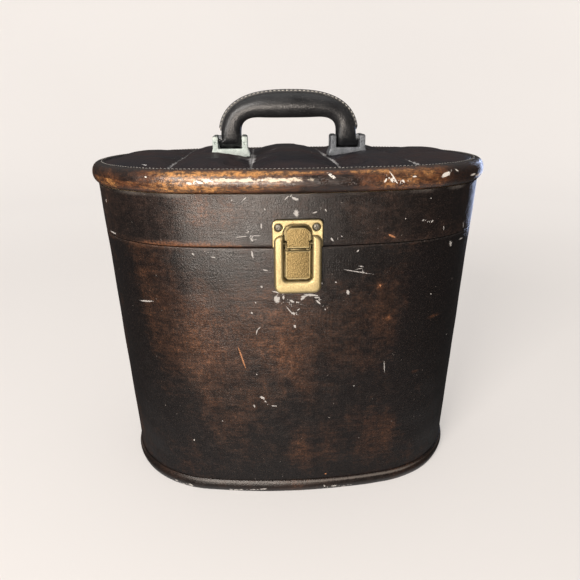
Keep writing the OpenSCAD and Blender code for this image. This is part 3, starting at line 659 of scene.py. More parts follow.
def plate_mesh(bm, loops, y0, y1, bevel, steps=4, back_bevel=0.0):
    """Adds a plate to bm: front at y0, back at y1, outlines in XZ, front edges rounded by bevel."""
    fronts, backs = [], []
    for k, loop in enumerate(loops):
        area = 0.5 * np.sum(loop[:, 0] * np.roll(loop[:, 1], -1) - np.roll(loop[:, 0], -1) * loop[:, 1])
        if (area > 0) != (k == 0):
            loop = loop[::-1]
        rings = [(inset(loop, back_bevel), y1), (loop, y1 - back_bevel)] if back_bevel else [(loop, y1)]
        rings += [(inset(loop, bevel * (1 - cos(a))), y0 + bevel * (1 - sin(a)))
                  for a in (pi / 2 * j / steps for j in range(steps + 1))]
        made = [[bm.verts.new((x, y, z)) for x, z in ring] for ring, y in rings]
        n = len(loop)
        for a, b in zip(made, made[1:]):
            for i in range(n):
                bm.faces.new((a[i], a[(i + 1) % n], b[(i + 1) % n], b[i])).smooth = True
        fronts.append(made[-1])
        backs.append(made[0])
    for group in (fronts, backs):
        edges = []
        for ring in group:
            for pair in zip(ring, ring[1:] + ring[:1]):
                edges.append(bm.edges.get(pair) or bm.edges.new(pair))
        made = bmesh.ops.triangle_fill(bm, use_beauty=True, use_dissolve=False, edges=edges)
        for f in made["geom"]:
            if isinstance(f, bmesh.types.BMFace):
                f.smooth = False


def ring_loop(x, z, r, n=24):
    a = 2 * pi * np.arange(n) / n
    return np.c_[x + r * np.cos(a), z + r * np.sin(a)]


def join_rings(bm, rings, steps):
    """Faces between rings of steps points each. A ring of one point makes a fan."""
    for a, b in zip(rings, rings[1:]):
        for i in range(steps):
            j = i + 1
            quad = list(dict.fromkeys([a[i % len(a)], a[j % len(a)], b[j % len(b)], b[i % len(b)]]))
            if len(quad) > 2:
                bm.faces.new(quad).smooth = True


def lathe_mesh(bm, profile, place, steps=24):
    """Adds a turned solid to bm: profile of (radius, along), place maps (n, 3) local points to the object."""
    rings = []
    a = 2 * pi * np.arange(steps) / steps
    for r, h in profile:
        local = np.c_[r * np.cos(a), np.full(steps, h), r * np.sin(a)] if r else np.array([[0, h, 0]])
        rings.append([bm.verts.new(q) for q in place(local)])
    join_rings(bm, rings, steps)


def rod_mesh(bm, centre, r, length, steps=20, round_end=0.15):
    """Adds a rod along X to bm."""
    h, soft = length / 2, round_end
    profile = [(0, -h), (r - soft, -h), (r, -h + soft), (r, h - soft), (r - soft, h), (0, h)]
    lathe_mesh(bm, profile, lambda q: np.c_[q[:, 1], q[:, 0], q[:, 2]] + np.array(centre), steps)


def box_mesh(bm, corners):
    """Adds a six-sided block to bm from four corners and their four partners, in the same order."""
    v = [bm.verts.new(q) for q in corners]
    for f in ((0, 1, 2, 3), (4, 5, 6, 7), (0, 1, 5, 4), (1, 2, 6, 5), (2, 3, 7, 6), (3, 0, 4, 7)):
        bm.faces.new([v[i] for i in f])


def darker(bm, start):
    """Gives the faces of bm from number start on the second material."""
    bm.faces.ensure_lookup_table()
    for f in bm.faces[start:]:
        f.material_index = 1


def stitches(name, ends, look, r):
    """Threads as small capsules between pairs of points, sunk at their ends."""
    bm = bmesh.new()
    sides = 6
    for a, b, up in ends:
        a, b, up = np.array(a, float), np.array(b, float), np.array(up, float)
        along = b - a
        length = np.linalg.norm(along)
        along /= length
        side = np.cross(along, up)
        side /= np.linalg.norm(side)
        rings = []
        for t, k in ((0, 0), (0.1, 0.75), (0.3, 1), (0.7, 1), (0.9, 0.75), (1, 0)):
            c = a + along * length * t + up * (sin(pi * t) * r * 0.9 - r * 0.45)
            turns = [2 * pi * j / sides for j in range(sides)] if k else [0]
            rings.append([bm.verts.new(c + (side * cos(g) + up * sin(g)) * r * k) for g in turns])
        join_rings(bm, rings, sides)
    return from_bm(name, bm, look, sharp=180)


def finish_piece(obj, body, slot, *nodes, padded=None):
    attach(obj, body)
    if nodes:
        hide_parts(*nodes)
    return obj


# ---------------------------------------------------------------- the case's marks, from the front's own wear
# A mark is (x, z) of its two ends and its half width. A worn patch is (x, z), half sizes and strength; a
# negative strength makes the leather less brown, in part as painted shade.

BODY_MARKS = [
    (-113.7, 156.8, -99.4, 159.3, 0.8), (-69.4, 196.8, -68.2, 195.8, 0.7), (-57.2, 194.7, -53.7, 194.3, 0.6),
    (-30.1, 199.3, -29.3, 194.1, 0.8), (-23.9, 186.1, -19.7, 185.2, 0.7), (-24.3, 173.9, -24.0, 173.7, 1.0),
    (-17.5, 170.7, -11.2, 169.0, 0.7), (-14.8, 166.0, -14.0, 162.7, 2.2), (-9.6, 166.5, -9.7, 165.1, 1.0),
    (-5.2, 163.9, -2.8, 162.3, 1.0), (-8.6, 160.3, -2.5, 151.9, 0.5), (-31.5, 154.7, -31.3, 154.5, 0.9),
    (-28.6, 162.3, -28.5, 162.1, 0.6), (-28.8, 138.0, -28.2, 141.6, 0.5), (-28.2, 141.6, -25.7, 143.9, 0.5),
    (-2.3, 144.6, -1.6, 143.4, 1.2), (-2.5, 154.1, -2.3, 153.1, 0.9), (-26.9, 87.0, -25.1, 86.0, 1.3),
    (-24.1, 83.6, -23.4, 82.7, 0.7), (-32.6, 80.5, -31.6, 77.9, 0.7), (-19.4, 79.5, -15.3, 79.1, 0.6),
    (-29.7, 106.1, -29.4, 105.8, 0.6), (-56.4, 65.2, -56.2, 65.1, 0.6), (-79.5, 46.2, -79.7, 44.8, 0.6),
    (28.5, 185.1, 53.4, 179.5, 0.45), (41.5, 186.4, 44.6, 185.7, 0.5), (25.9, 175.6, 26.1, 175.5, 0.7),
    (16.4, 175.4, 16.6, 175.2, 0.9), (34.3, 168.8, 34.8, 167.0, 1.4), (4.1, 167.9, 14.5, 166.2, 1.1),
    (2.3, 164.0, 4.7, 165.8, 1.1), (12.9, 162.9, 15.7, 160.2, 0.9), (-0.4, 155.9, 1.6, 157.4, 0.5),
    (18.9, 156.3, 19.3, 155.7, 0.6), (39.7, 196.6, 41.0, 197.7, 0.6), (97.3, 159.7, 97.6, 159.4, 0.6),
    (119.0, 118.7, 119.2, 118.3, 0.6), (63.7, 112.3, 64.9, 100.7, 0.4), (41.8, 92.9, 42.0, 92.8, 0.6),
    (110.4, 196.1, 111.4, 193.6, 1.7), (119.8, 195.7, 124.4, 195.7, 0.9)]
SCRATCH = [(-42.8, 131.2, -36.5, 108.0, 0.75), (57.0, 171.5, 57.6, 171.0, 0.9), (22.0, 14.0, 22.3, 14.2, 0.9)]
SKIRT_MARKS = [
    (-132.7, 227.1, -133.0, 224.9, 0.7), (-133.6, 203.6, -125.5, 203.4, 0.8), (-35.7, 230.9, -31.4, 235.1, 0.5),
    (-8.2, 232.3, -5.4, 235.0, 0.6), (-41.5, 232.5, -41.4, 232.3, 0.6), (-21.0, 226.7, -20.7, 226.1, 0.6),
    (-41.1, 208.0, -30.7, 209.2, 0.4), (-30.7, 209.2, -22.0, 209.3, 0.4), (-23.4, 217.2, -23.2, 213.7, 0.7),
    (-31.9, 212.1, -31.7, 211.9, 0.6), (-30.2, 207.4, -29.2, 205.7, 1.0), (-3.5, 233.8, 0.3, 232.2, 1.2),
    (-1.1, 224.8, -0.6, 222.8, 2.2), (9.3, 223.4, 12.5, 224.2, 0.6), (17.6, 226.0, 18.6, 224.4, 0.5),
    (84.8, 215.1, 85.2, 215.5, 0.7), (88.5, 213.9, 88.8, 214.1, 0.5), (91.7, 213.4, 92.5, 214.3, 0.8),
    (102.2, 209.5, 102.9, 206.3, 0.5), (122.7, 208.2, 123.5, 203.3, 0.6), (21.9, 206.5, 23.3, 204.9, 0.8),
    (28.8, 207.8, 29.2, 207.5, 0.6), (60.7, 207.3, 65.8, 204.8, 0.9), (89.3, 229.9, 89.5, 229.7, 0.6),
    (71.8, 217.5, 71.9, 217.4, 0.6)]
ROLL_MARKS = [
    (-96.5, 246.7, -95.5, 246.5, 0.5), (-69.2, 243.6, -65.5, 243.0, 0.8), (-62.9, 244.6, -58.6, 243.4, 0.9),
    (-56.0, 245.5, -51.7, 244.0, 0.8), (-22.1, 245.4, -21.7, 245.1, 0.7), (18.0, 249.0, 23.1, 244.9, 0.5),
    (19.8, 249.0, 24.3, 245.4, 0.4), (58.4, 249.0, 64.3, 240.5, 0.5), (55.2, 242.5, 56.4, 244.3, 0.8),
    (59.1, 244.3, 60.5, 242.3, 0.7), (67.1, 243.1, 68.1, 242.0, 0.8), (74.0, 245.1, 76.1, 245.3, 0.6),
    (95.5, 244.4, 101.1, 246.1, 1.8), (106.3, 247.6, 109.3, 246.2, 0.5), (122.0, 242.3, 127.1, 242.7, 0.9)]
RING_MARKS = [
    (-98.2, 2.7, -96.4, 2.4, 1.1), (-92.3, 1.2, -90.9, 1.0, 1.0), (-86.5, 2.5, -84.2, 2.0, 1.7),
    (-53.8, 1.2, -51.8, 1.3, 0.9), (-49.9, 1.2, -47.5, 1.5, 0.9), (-45.9, 1.6, -43.1, 2.1, 0.8),
    (-37.9, 2.1, -33.2, 2.3, 0.8), (-30.8, 2.6, -24.4, 3.4, 0.9), (20.8, 4.4, 21.3, 3.1, 0.9),
    (26.5, 2.6, 30.9, 2.9, 1.1), (42.4, 2.2, 43.2, 1.8, 0.6), (34.6, 1.2, 38.7, 1.2, 0.7)]
WORN_AND_SHADE_BODY = [
    (-78, 154, 26, 20, 0.5), (-69, 129, 26, 22, 0.5), (-76, 104, 18, 28, 0.45), (-50, 84, 34, 32, 0.35),
    (-20, 158, 24, 14, 0.45), (-36, 149, 30, 20, 0.3), (-95, 161, 12, 9, 0.3), (-62, 60, 24, 20, 0.25),
    (2, 48, 8, 14, 0.45), (6, 34, 8, 10, 0.45), (29, 150, 28, 18, 0.35), (16, 112, 46, 36, 0.35),
    (57, 158, 16, 22, 0.4), (62, 122, 14, 30, 0.3), (69, 50, 16, 22, 0.4), (101, 141, 10, 4, 0.5),
    # The negative patches, towards the ends, right of the latch and along the foot, are partly painted shade.
    (-30, 120, 38, 30, 0.3), (-52, 157, 9, 12, -0.4), (-122, 110, 18, 80, -0.9), (-104, 40, 26, 34, -0.7),
    (108, 165, 26, 40, -0.8), (92, 110, 24, 34, -0.55), (40, 190, 30, 14, -0.45), (-30, 190, 50, 12, -0.2),
    (0, 14, 70, 10, -0.6), (112, 60, 30, 44, -0.6), (30, 84, 20, 20, -0.3), (-15, 70, 16, 16, -0.2)]
WORN_STREAKS = [
    (101, 141, 7, 1.5, 1.7), (90, 98, 5, 1.3, 1.5), (65, 146, 1.8, 1.8, 1.6), (57, 171, 2.5, 2.5, 1.2)]
WORN_AND_SHADE_SKIRT = [
    (-66, 222, 40, 14, 0.75), (-20, 226, 30, 10, 0.35), (-100, 218, 14, 12, -0.4), (40, 220, 40, 14, -0.1),
    (110, 220, 22, 20, -0.5), (62, 206, 5, 2.5, 0.7)]
# On the pad a rubbed spot is (x, y), half sizes and strength
PAD_RUBS = [
    (-29, -30, 7, 22, 0.5), (29, -40, 4, 22, 0.32), (-29, 10, 8, 8, 0.4), (29, 16, 5, 12, 0.3),
    (-12, 22, 12, 3, 0.5), (2, 18, 5, 3, 0.45), (12, 14, 5, 3, 0.45), (-45, -12, 14, 6, 0.35),
    (-17, -47, 9, 3.5, 0.5), (0, -49, 6, 3, 0.42), (14, -47, 9, 3, 0.4), (-58, -46, 10, 3, 0.3),
    (46, -12, 12, 4, 0.25), (83, -60, 3, 16, 0.3), (-83, -50, 3, 30, 0.2), (128, -30, 8, 10, 0.2)]


# ---------------------------------------------------------------- pieces

def body_walls():
    """The body's cover: its outer face, rounded top edge and the cloth turned over the board."""
    look = case_leather("body_leather", (0.0045, 0.0036, 0.0036), (0.044, 0.0185, 0.0088),
                        (0.1, 0.04, 0.0165), 0.0, 0.55, 0.34)
    low, thin = 1.1, 1
    section = rounded([(shift(low) - thin, low), (shift(low), low), (0, SEAM), (-LINING_OUT, SEAM),
                       (-LINING_OUT, SEAM - thin), (-thin, SEAM - thin)], [0, 0, 0.9, 0.2, 0, 0])

    def move(p, out):
        x, y, z = abs(p[:, 0]), p[:, 1], p[:, 2]
        face = (out > shift(z) - 0.4) & (z < SEAM - 1)
        calm = fade(z, 10, 24) * fade(z, SEAM - 2, SEAM - 14)
        near = np.where(y < 0, fade(x, 50, 34) * fade(z, 125, 150),
                        fade(abs(x - HINGE_X), 40, 24) * fade(z, 145, 170))
        wave = 0.22 * smooth_noise(p, 90, 11) + 0.08 * smooth_noise(p, 26, 12) - 0.1
        return np.where(face, calm * (1 - ease(near)) * wave, 0)

    body = band("body_shell", dense(section, 1.5, closed=False), look, 190, 112, move)
    p = points_of(body)
    mark_layer(body, BODY_MARKS + SCRATCH + random_marks(5, 18, 12, 196))
    brown = [((a + c) / 2, (b + d) / 2, abs(a - c) / 2 + 3, abs(b - d) / 2 + 3, 3) for a, b, c, d, _ in SCRATCH]
    set_layer(body, "scratch", blob_points(p, brown).clip(0, 1))
    edge = fade(p[:, 2], SEAM - 3.2, SEAM - 0.6)
    left = bell(p[:, 0], -80, 50) * frontal(p)
    # The worn layer also takes the negative patches, partly painted shade.
    worn = blob_points(p, WORN_AND_SHADE_BODY + WORN_STREAKS + worn_back(3, 26, 15, 190))
    set_layer(body, "worn", worn + edge * (0.55 * left + 0.2))
    set_layer(body, "dust_and_highlight", 0.35 * edge)
    finish_piece(body, "case_body", "cover", "body_cover")


def base_ring():
    """A soft bulged strip round the foot."""
    look = case_leather("binding_leather", (0.0055, 0.004, 0.0036), (0.025, 0.0125, 0.008),
                        (0.08, 0.032, 0.015), 0.0, 0.5, 0.36, 40.0)
    high, steps, gap = 10, 14, 0.1
    bulge = [(shift(0) + gap + 0.9 + 1.4 * sin(pi * k / steps), high * k / steps) for k in range(steps + 1)]
    ring = rounded([*bulge, (shift(high) + gap, high), (shift(0) + gap, 0)],
                   [0.5] + [0] * (steps - 1) + [0.4, 0, 0], 3)
    strip = band("base_ring", dense(ring, 1.2), look, 170, 100,
                 lambda p, out: np.where(out > shift(p[:, 2]) + 0.5, 0.12 * smooth_noise(p, 22, 21), 0))
    p = points_of(strip)
    z = p[:, 2]
    mark_layer(strip, RING_MARKS + random_marks(8, 9, 1, 9), 1.4)
    set_layer(strip, "worn", 0.3 * fade(z, 6, 9) + 0.2 * smooth_noise(p, 40, 5))
    # A pale line round the upper slope of the bulge: dust, and partly a painted highlight.
    set_layer(strip, "dust_and_highlight", 0.75 * bell(z, 8.6, 1.1) * (0.8 + 0.4 * smooth_noise(p, 50, 6))
              + 0.2 * bell(z, 0, 1.5))
    set_layer(strip, "scratch", np.zeros(len(p)))
    finish_piece(strip, "case_body", "binding", "base_binding")


def skirt_walls():
    """The lid's skirt, with its lower edge turned in."""
    look = case_leather("skirt_leather", (0.0055, 0.0042, 0.004), (0.03, 0.016, 0.011),
                        (0.1, 0.04, 0.017), 0.03, 0.6, 0.35, 20.0)
    low, thin = SEAM + 0.4, 1
    turned = low + thin
    section = rounded([(shift(low) - LINING_OUT, low), (shift(low), low), (RIM_LEAN, RIM),
                       (RIM_LEAN - thin, RIM), (shift(turned) - thin, turned),
                       (shift(turned) - LINING_OUT, turned)], [0, 0.9, 0, 0, 0, 0])

    def move(p, out):
        x, y, z = abs(p[:, 0]), p[:, 1], p[:, 2]
        face = (out > shift(z) - 0.4) & (z > SEAM + 2)
        calm = fade(z, SEAM + 3, SEAM + 11) * fade(z, RIM, RIM - 6)
        near = np.where(y < 0, fade(x, 44, 30), fade(abs(x - HINGE_X), 38, 24))
        wave = 0.14 * smooth_noise(p, 60, 31) + 0.05 * smooth_noise(p, 18, 32) - 0.08
        return np.where(face, calm * wave * (1 - ease(near)), 0)

    skirt = band("skirt_shell", dense(section, 1.4), look, 190, 112, move)
    p = points_of(skirt)
    mark_layer(skirt, SKIRT_MARKS + random_marks(6, 8, SEAM + 3, RIM - 3))
    edge = fade(p[:, 2], SEAM + 5.5, SEAM + 1)
    left = bell(p[:, 0], -72, 40) * frontal(p)
    # The negative patches at the skirt's left and right ends are partly painted shade.
    worn = blob_points(p, WORN_AND_SHADE_SKIRT + worn_back(13, 14, SEAM + 4, RIM))
    set_layer(skirt, "worn", worn + edge * (1.9 * left + 0.2))
    set_layer(skirt, "dust_and_highlight", fade(p[:, 2], RIM - 4.5, RIM - 1) * (0.42 + 0.25 * smooth_noise(p, 30, 7)))
    set_layer(skirt, "scratch", blob_points(p, [(63, 206, 5, 4, 2)]).clip(0, 1))
    finish_piece(skirt, "lid", "cover", "skirt_cover")


def rim_roll():
    """The bullnose roll round the lid's top edge."""
    mid, inner = RIM + 0.1 + ROLL_H / 2, RIM_LEAN - ROLL_IN
    section = [(inner + (ROLL_IN + ROLL_OUT) * max(0.0, cos(a)) ** 0.94, mid + ROLL_H / 2 * sin(a))
               for a in (pi * k / 30 - pi / 2 for k in range(31))]

    def move(p, out):
        relief = 0.16 * smooth_noise(p, 34, 41) + 0.08 * smooth_noise(p, 12, 42) - 0.1
        return fade(out, inner + 1, inner + 3) * relief

    roll = band("roll", dense(np.array(section), 1.6), roll_leather(), 190, 112, move)
    p = points_of(roll)
    mark_layer(roll, ROLL_MARKS + random_marks(7, 6, 240, 249), 4.4)
    x, z, front = p[:, 0], p[:, 2], frontal(p)
    # Rubbed to gold in stretches and along the top, blackened between them; darker at the left and right ends
    # and along the top and bottom edges, partly painted shade
    gold = sum(k * bell(x, at, wide) for k, at, wide in ((0.75, -75, 26), (0.5, -30, 30), (0.6, 60, 26),
                                                         (0.35, 92, 12)))
    gold = gold + 0.5 * bell(x, -128, 12) * (z < 244) + 0.55 * bell(z, 249.2, 1.3) * bell(x, -10, 70, 4)
    dark_patches_and_shade = 0.45 * bell(x, 22, 18) * (z < 248) + 0.5 * bell(x, -108, 12) * (z > 243) + 0.5 * bell(x, 112, 14)
    behind = (1 - front) * (0.3 + 0.3 * smooth_noise(p, 60, 15))
    # Darker along the top and bottom edges, in the crease against the piping and under the bulge: partly
    # painted shade.
    ends = 0.35 * fade(z, 249.9, 250.7) + 0.4 * fade(z, 239.2, 236.7)
    set_layer(roll, "worn", (gold - dark_patches_and_shade) * front + behind - ends)
    # Pale flakes on the front's middle, where the roll bulges, are partly a painted highlight.
    flakes_and_highlight = (0.6 * bell(x, -30, 52, 4) * bell(z, 245.2, 2.4) + 0.6 * bell(x, 133, 10) * bell(z, 241, 2)
             + 0.35 * bell(x, 62, 10) * bell(z, 243, 1.6))
    set_layer(roll, "dust_and_highlight", flakes_and_highlight * front + 0.22 * bell(z, 237.2, 1.2))
    finish_piece(roll, "lid", "roll", "rim_roll")


def piping():
    """The sewn edge inside the roll, with its stitches."""
    out, top = RIM_LEAN - ROLL_IN - 0.1, RIM + ROLL_H + 0.25
    section = dense(rounded([(out - 3, PAD_Z), (out, PAD_Z), (out, top), (out - 3, top - 0.4)],
                            [0, 0, 1.0, 1.0]), 1.5)
    look = case_leather("piping_leather", (0.011, 0.008, 0.008), (0.04, 0.02, 0.013),
                        (0.14, 0.055, 0.026), 0.0, 0.4, 0.36, 60.0)
    edge = band("piping", section, look, 170, 100)
    p = points_of(edge)
    set_layer(edge, "scratch", np.zeros(len(p)))
    set_layer(edge, "worn", 0.2 * smooth_noise(p, 40, 51))
    set_layer(edge, "dust_and_highlight", 0.35 + 0.25 * smooth_noise(p, 30, 52))
    finish_piece(edge, "lid", "roll", "stitched_edge")

    st = oval(400, 232)
    line = st[:, :2] + st[:, 2:] * (out - 0.9)
    up, z = (0, 0, 1), top + 0.02
    ends = [((*a, z), (*b, z), up) for _, a, b in sewn(np.vstack([line, line[:1]]), 2.7, 1.8)]
    look = thread("edge_thread", (0.2, 0.185, 0.17))
    finish_piece(stitches("edge_stitches", ends, look, 0.25), "lid", "roll")


def pad_height(x, y):
    """Height of the quilted top above the pad's foot, and the distance from the nearest channel."""
    edges = np.array([-PAD_END, *CHANNELS, PAD_END])
    x = np.clip(x, -PAD_END + 1e-6, PAD_END - 1e-6)
    cell = np.clip(np.searchsorted(edges, x) - 1, 0, 4)
    wide = edges[cell + 1] - edges[cell]
    t = (x - edges[cell]) / wide
    deep = np.abs(y) / np.maximum(half_depth(x, PAD_OUT), 1e-6)

    def puff(t):
        return np.sin(pi * np.clip(t, 0, 1)) ** 0.62

    plump = np.array([0.82, 0.95, 1.0, 0.95, 0.82])[cell]
    h = PAD_PUFF * plump * puff(t) * puff(deep)
    return PAD_LOW + h, np.minimum(np.minimum(t, 1 - t) * wide, np.abs(y))


def sheet_faces(nx, ny):
    return grid_faces(nx, ny, round_m=False)[:, [0, 3, 2, 1]].tolist()


def swell(verts, nx, ny, pinned, cap=3.5):
    """How far a grid of points moves when its cloth is blown up between its pinned seams, in mm."""
    mesh = bpy.data.meshes.new("sheet")
    mesh.from_pydata((verts * MM).tolist(), [], sheet_faces(nx, ny))
    obj = bpy.data.objects.new("sheet", mesh)
    bpy.context.scene.collection.objects.link(obj)
    obj.vertex_groups.new(name="pin").add([int(i) for i in np.nonzero(pinned)[0]], 1.0, "REPLACE")
    cloth = obj.modifiers.new("cloth", "CLOTH")
    s = cloth.settings
    s.quality, s.mass, s.air_damping = 8, 0.15, 2.0
    s.tension_stiffness, s.compression_stiffness, s.shear_stiffness, s.bending_stiffness = 15, 15, 6, 4.0
    s.use_pressure, s.uniform_pressure_force = True, 4.0
    s.shrink_min = s.shrink_max = -0.015
    s.effector_weights.gravity = 0
    s.vertex_group_mass = "pin"
    cloth.collision_settings.use_collision = False
    first, last = 1, 20
    cloth.point_cache.frame_start, cloth.point_cache.frame_end = first, last
    for frame_no in range(first, last + 1):
        bpy.context.scene.frame_set(frame_no)
    bake_modifiers(obj)
    moved = points_of(obj) - verts
    bpy.data.objects.remove(obj)
    bpy.context.scene.frame_set(first)
    far = np.linalg.norm(moved, axis=1)[:, None]
    return moved * np.minimum(1, cap / np.maximum(far, 1e-6))


def upsample(field):
    """Doubles a grid of values along both of its sides, smoothly."""
    for axis in (0, 1):
        f = np.moveaxis(field, axis, 0)
        pad = np.concatenate([2 * f[:1] - f[1:2], f, 2 * f[-1:] - f[-2:-1]])
        made = np.empty((2 * len(f) - 1, *f.shape[1:]))
        made[::2], made[1::2] = f, (9 * (pad[1:-2] + pad[2:-1]) - pad[:-3] - pad[3:]) / 16
        field = np.moveaxis(made, 0, axis)
    return field


def pad_top():
    """The pad's top as a grid of points: x, y and height above the foot, and the grid's nx and ny."""
    columns, half_rows = 34, 44
    edges = [-PAD_END, *CHANNELS, PAD_END]
    xs = np.array([a + (b - a) * (1 - cos(pi * i / columns)) / 2
                   for a, b in zip(edges, edges[1:]) for i in range(columns)] + [PAD_END])
    vs = np.array([math.copysign((1 - cos(pi * abs(j) / half_rows)) / 2, j)
                   for j in range(-half_rows, half_rows + 1)])
    nx, ny = len(xs), len(vs)
    x = np.repeat(xs, ny)
    y = np.concatenate([v * vs for v in half_depth(xs, PAD_OUT)])
    h, seam = pad_height(x, y)
    p = np.c_[x, y, np.zeros(len(x))]
    # Gathers that run off the seams, and slack creases in the leather
    cross = np.abs(x[:, None] - np.array(CHANNELS)).min(1)
    gather = np.sin(y * 2 * pi / 8.5 + 2.2 * smooth_noise(p, 40, 61)) * bell(cross, 0, 7.5)
    gather += np.sin(x * 2 * pi / 9.5 + 2.2 * smooth_noise(p, 44, 62)) * bell(y, 0, 6.5)
    rise = fade(h, PAD_LOW, PAD_LOW + 3)
    grid = np.c_[x, y, PAD_Z + h].reshape(nx, ny, 3)[::2, ::2]
    cx, cy = grid[..., 0].ravel(), grid[..., 1].ravel()
    held = (seam.reshape(nx, ny)[::2, ::2].ravel() < 0.6) | (np.abs(cy) > half_depth(cx, PAD_OUT) - 0.6)
    held |= np.abs(cx) > PAD_END - 0.6
    held |= (np.abs(np.abs(cx) - LEG_X) < 15.8) & (np.abs(cy) < 8.3)
    moved = swell(grid.reshape(-1, 3), *grid.shape[:2], held).reshape(grid.shape)
    moved = upsample(moved).reshape(-1, 3)
    x, y, h = x + moved[:, 0], y + moved[:, 1], h + moved[:, 2]
    h = h + 0.22 * gather * rise + rise * 0.1 * smooth_noise(p, 11, 64)
    # Pressed down under and round the bracket feet
    for s in (-1, 1):
        dx = np.maximum(np.abs(x - s * LEG_X) - 15.4, 0)
        dy = np.maximum(np.abs(y) - 7.9, 0)
        h = np.minimum(h, FOOT_Z - PAD_Z - 0.12 + 0.75 * np.hypot(dx, dy) ** 0.9)
    return x, y, np.minimum(h, 15.6), nx, ny


def quilted_pad():
    """The lid's top: ten puffed pads between sewn channels, drawn in at the seams and under the brackets."""
    x, y, h, nx, ny = pad_top()
    top = np.c_[x, y, PAD_Z + h]
    border = ([i * ny for i in range(nx)] + [(nx - 1) * ny + j for j in range(1, ny)]
              + [i * ny + ny - 1 for i in range(nx - 2, -1, -1)] + [j for j in range(ny - 2, 0, -1)])
    low = top[border].copy()
    low[:, 2] = PAD_Z
    n, m = len(top), len(border)
    wall = [(border[i], n + i, n + (i + 1) % m, border[(i + 1) % m]) for i in range(m)]
    faces = [*sheet_faces(nx, ny), *wall, range(n, n + m)]
    pad = new_mesh("quilted_pad", np.vstack([top, low]), faces, pad_leather(), sharp=60)
    p = points_of(pad)
    x, y = p[:, 0], p[:, 1]
    cross = np.abs(p[:, :1] - np.array(CHANNELS)).min(1)
    rub = 0.5 * bell(cross, 0, 1.8) + 0.2 * bell(y, 0, 1.6)
    for cx, cy, rx, ry, k in PAD_RUBS:
        rub += k * np.exp(-((x - cx) / rx) ** 2 - ((y - cy) / ry) ** 2)
    set_layer(pad, "dust_and_highlight", rub)
    rng = np.random.default_rng(9)
    field = np.full(len(p), -1.0)
    lines = [(20, -52, 21.5, -56, 0.8), (14, -48, 14.5, -51, 0.6), (-3, -40, -2.6, -41, 0.5)]
    for _ in range(22):
        cx, cy = rng.uniform(-120, 120), rng.uniform(-70, 80)
        lines.append((cx, cy, cx + rng.uniform(-4, 4), cy + rng.uniform(-3, 3), rng.uniform(0.35, 0.7)))
    for x0, y0, x1, y1, r in lines:
        a, d = np.array([x0, y0]), np.array([x1 - x0, y1 - y0])
        t = np.clip((p[:, :2] - a) @ d / (d @ d), 0, 1)
        field = np.maximum(field, 1 - np.linalg.norm(p[:, :2] - a - t[:, None] * d, axis=1) / r)
    set_layer(pad, "marks", np.clip(field, -1, 1))
    finish_piece(pad, "lid", "pad", "lid_pad", padded=0.7)


def pad_threads():
    """Threads sunk in the pad's channels."""
    pitch, length = 3.6, 2.5

    def starts(half):
        n = int(2 * half / pitch)
        return [-half + 2 * half * i / n for i in range(n)]

    def on_top(x, y):
        h, _ = pad_height(np.array([x]), np.array([y]))
        return x, y, PAD_Z + float(h[0]) + 0.1

    rows = [((c, s), (c, s + length)) for c in CHANNELS for s in starts(float(half_depth(c, PAD_OUT)) - 2)]
    rows += [((s, 0), (s + length, 0)) for s in starts(PAD_END - 3)
             if min(abs(s + 1.2 - side * LEG_X) for side in (-1, 1)) > 18.5]
    ends = [(on_top(*a), on_top(*b), (0, 0, 1)) for a, b in rows]
    look = thread("pad_thread", (0.07, 0.064, 0.062))
    finish_piece(stitches("pad_stitches", ends, look, 0.26), "lid", "pad")


def power(v, n):
    """One side of a squarer circle."""
    return math.copysign(abs(v) ** (2 / n), v)


def arch_out(t):
    """The grip's outer edge under the welt, from the pins' height."""
    return np.array([(LEG_X + LEG_W / 2 - WELT_H) * power(cos(t), 2.58), (36.6 - WELT_H) * power(sin(t), 2.58)])


def arch_in(t):
    return np.array([(LEG_X - LEG_W / 2) * power(cos(t), 4.5),
                     17.4 * power(sin(t), 4.5) - 1.5 * max(0.0, sin(t)) ** 12])


def grip():
    """The handle's grip: thick in the middle, flat and rounded at its two legs."""
    fine = np.linspace(0, pi, 721)
    run = run_of(np.array([(arch_out(t) + arch_in(t)) / 2 for t in fine]))
    sides, end_steps, thick = 40, 9, 19

    def ring(mid, half, d, n):
        turns = [(power(cos(a), n), power(sin(a), n)) for a in (2 * pi * k / sides for k in range(sides))]
        return [(mid[0] + half[0] * ca, d * sa, PIN_Z + mid[1] + half[1] * ca) for ca, sa in turns]

    def leg_end(side, order):
        made = []
        for k in order:
            g = pi / 2 * k / end_steps
            d, drop = LEG_D / 2 * cos(g), LEG_D / 2 * sin(g)
            w = LEG_W / 2 - 0.5 * (1 - cos(g)) - (0.7 if k == end_steps else 0)
            made.append(ring((side * LEG_X, -drop), (side * w, 0), max(d, 0.35), 3.4))
        return made

    rings = leg_end(1, range(end_steps, 0, -1))
    for t in np.interp(np.linspace(0, run[-1], 121), run, fine):
        o, i = arch_out(t), arch_in(t)
        up = max(0.0, sin(t))
        d = LEG_D / 2 + (thick - LEG_D) / 2 * up ** 3
        rings.append(ring((o + i) / 2, (o - i) / 2, d, 2.15 + 1.25 * max(0.0, 1 - up / 0.35) ** 1.5))
    rings += leg_end(-1, range(1, end_steps + 1))
    verts = np.array([q for r in rings for q in r])
    finish_piece(tube("grip", verts, len(rings), sides, grip_leather(), 70), "handle", "grip", "handle_grip")


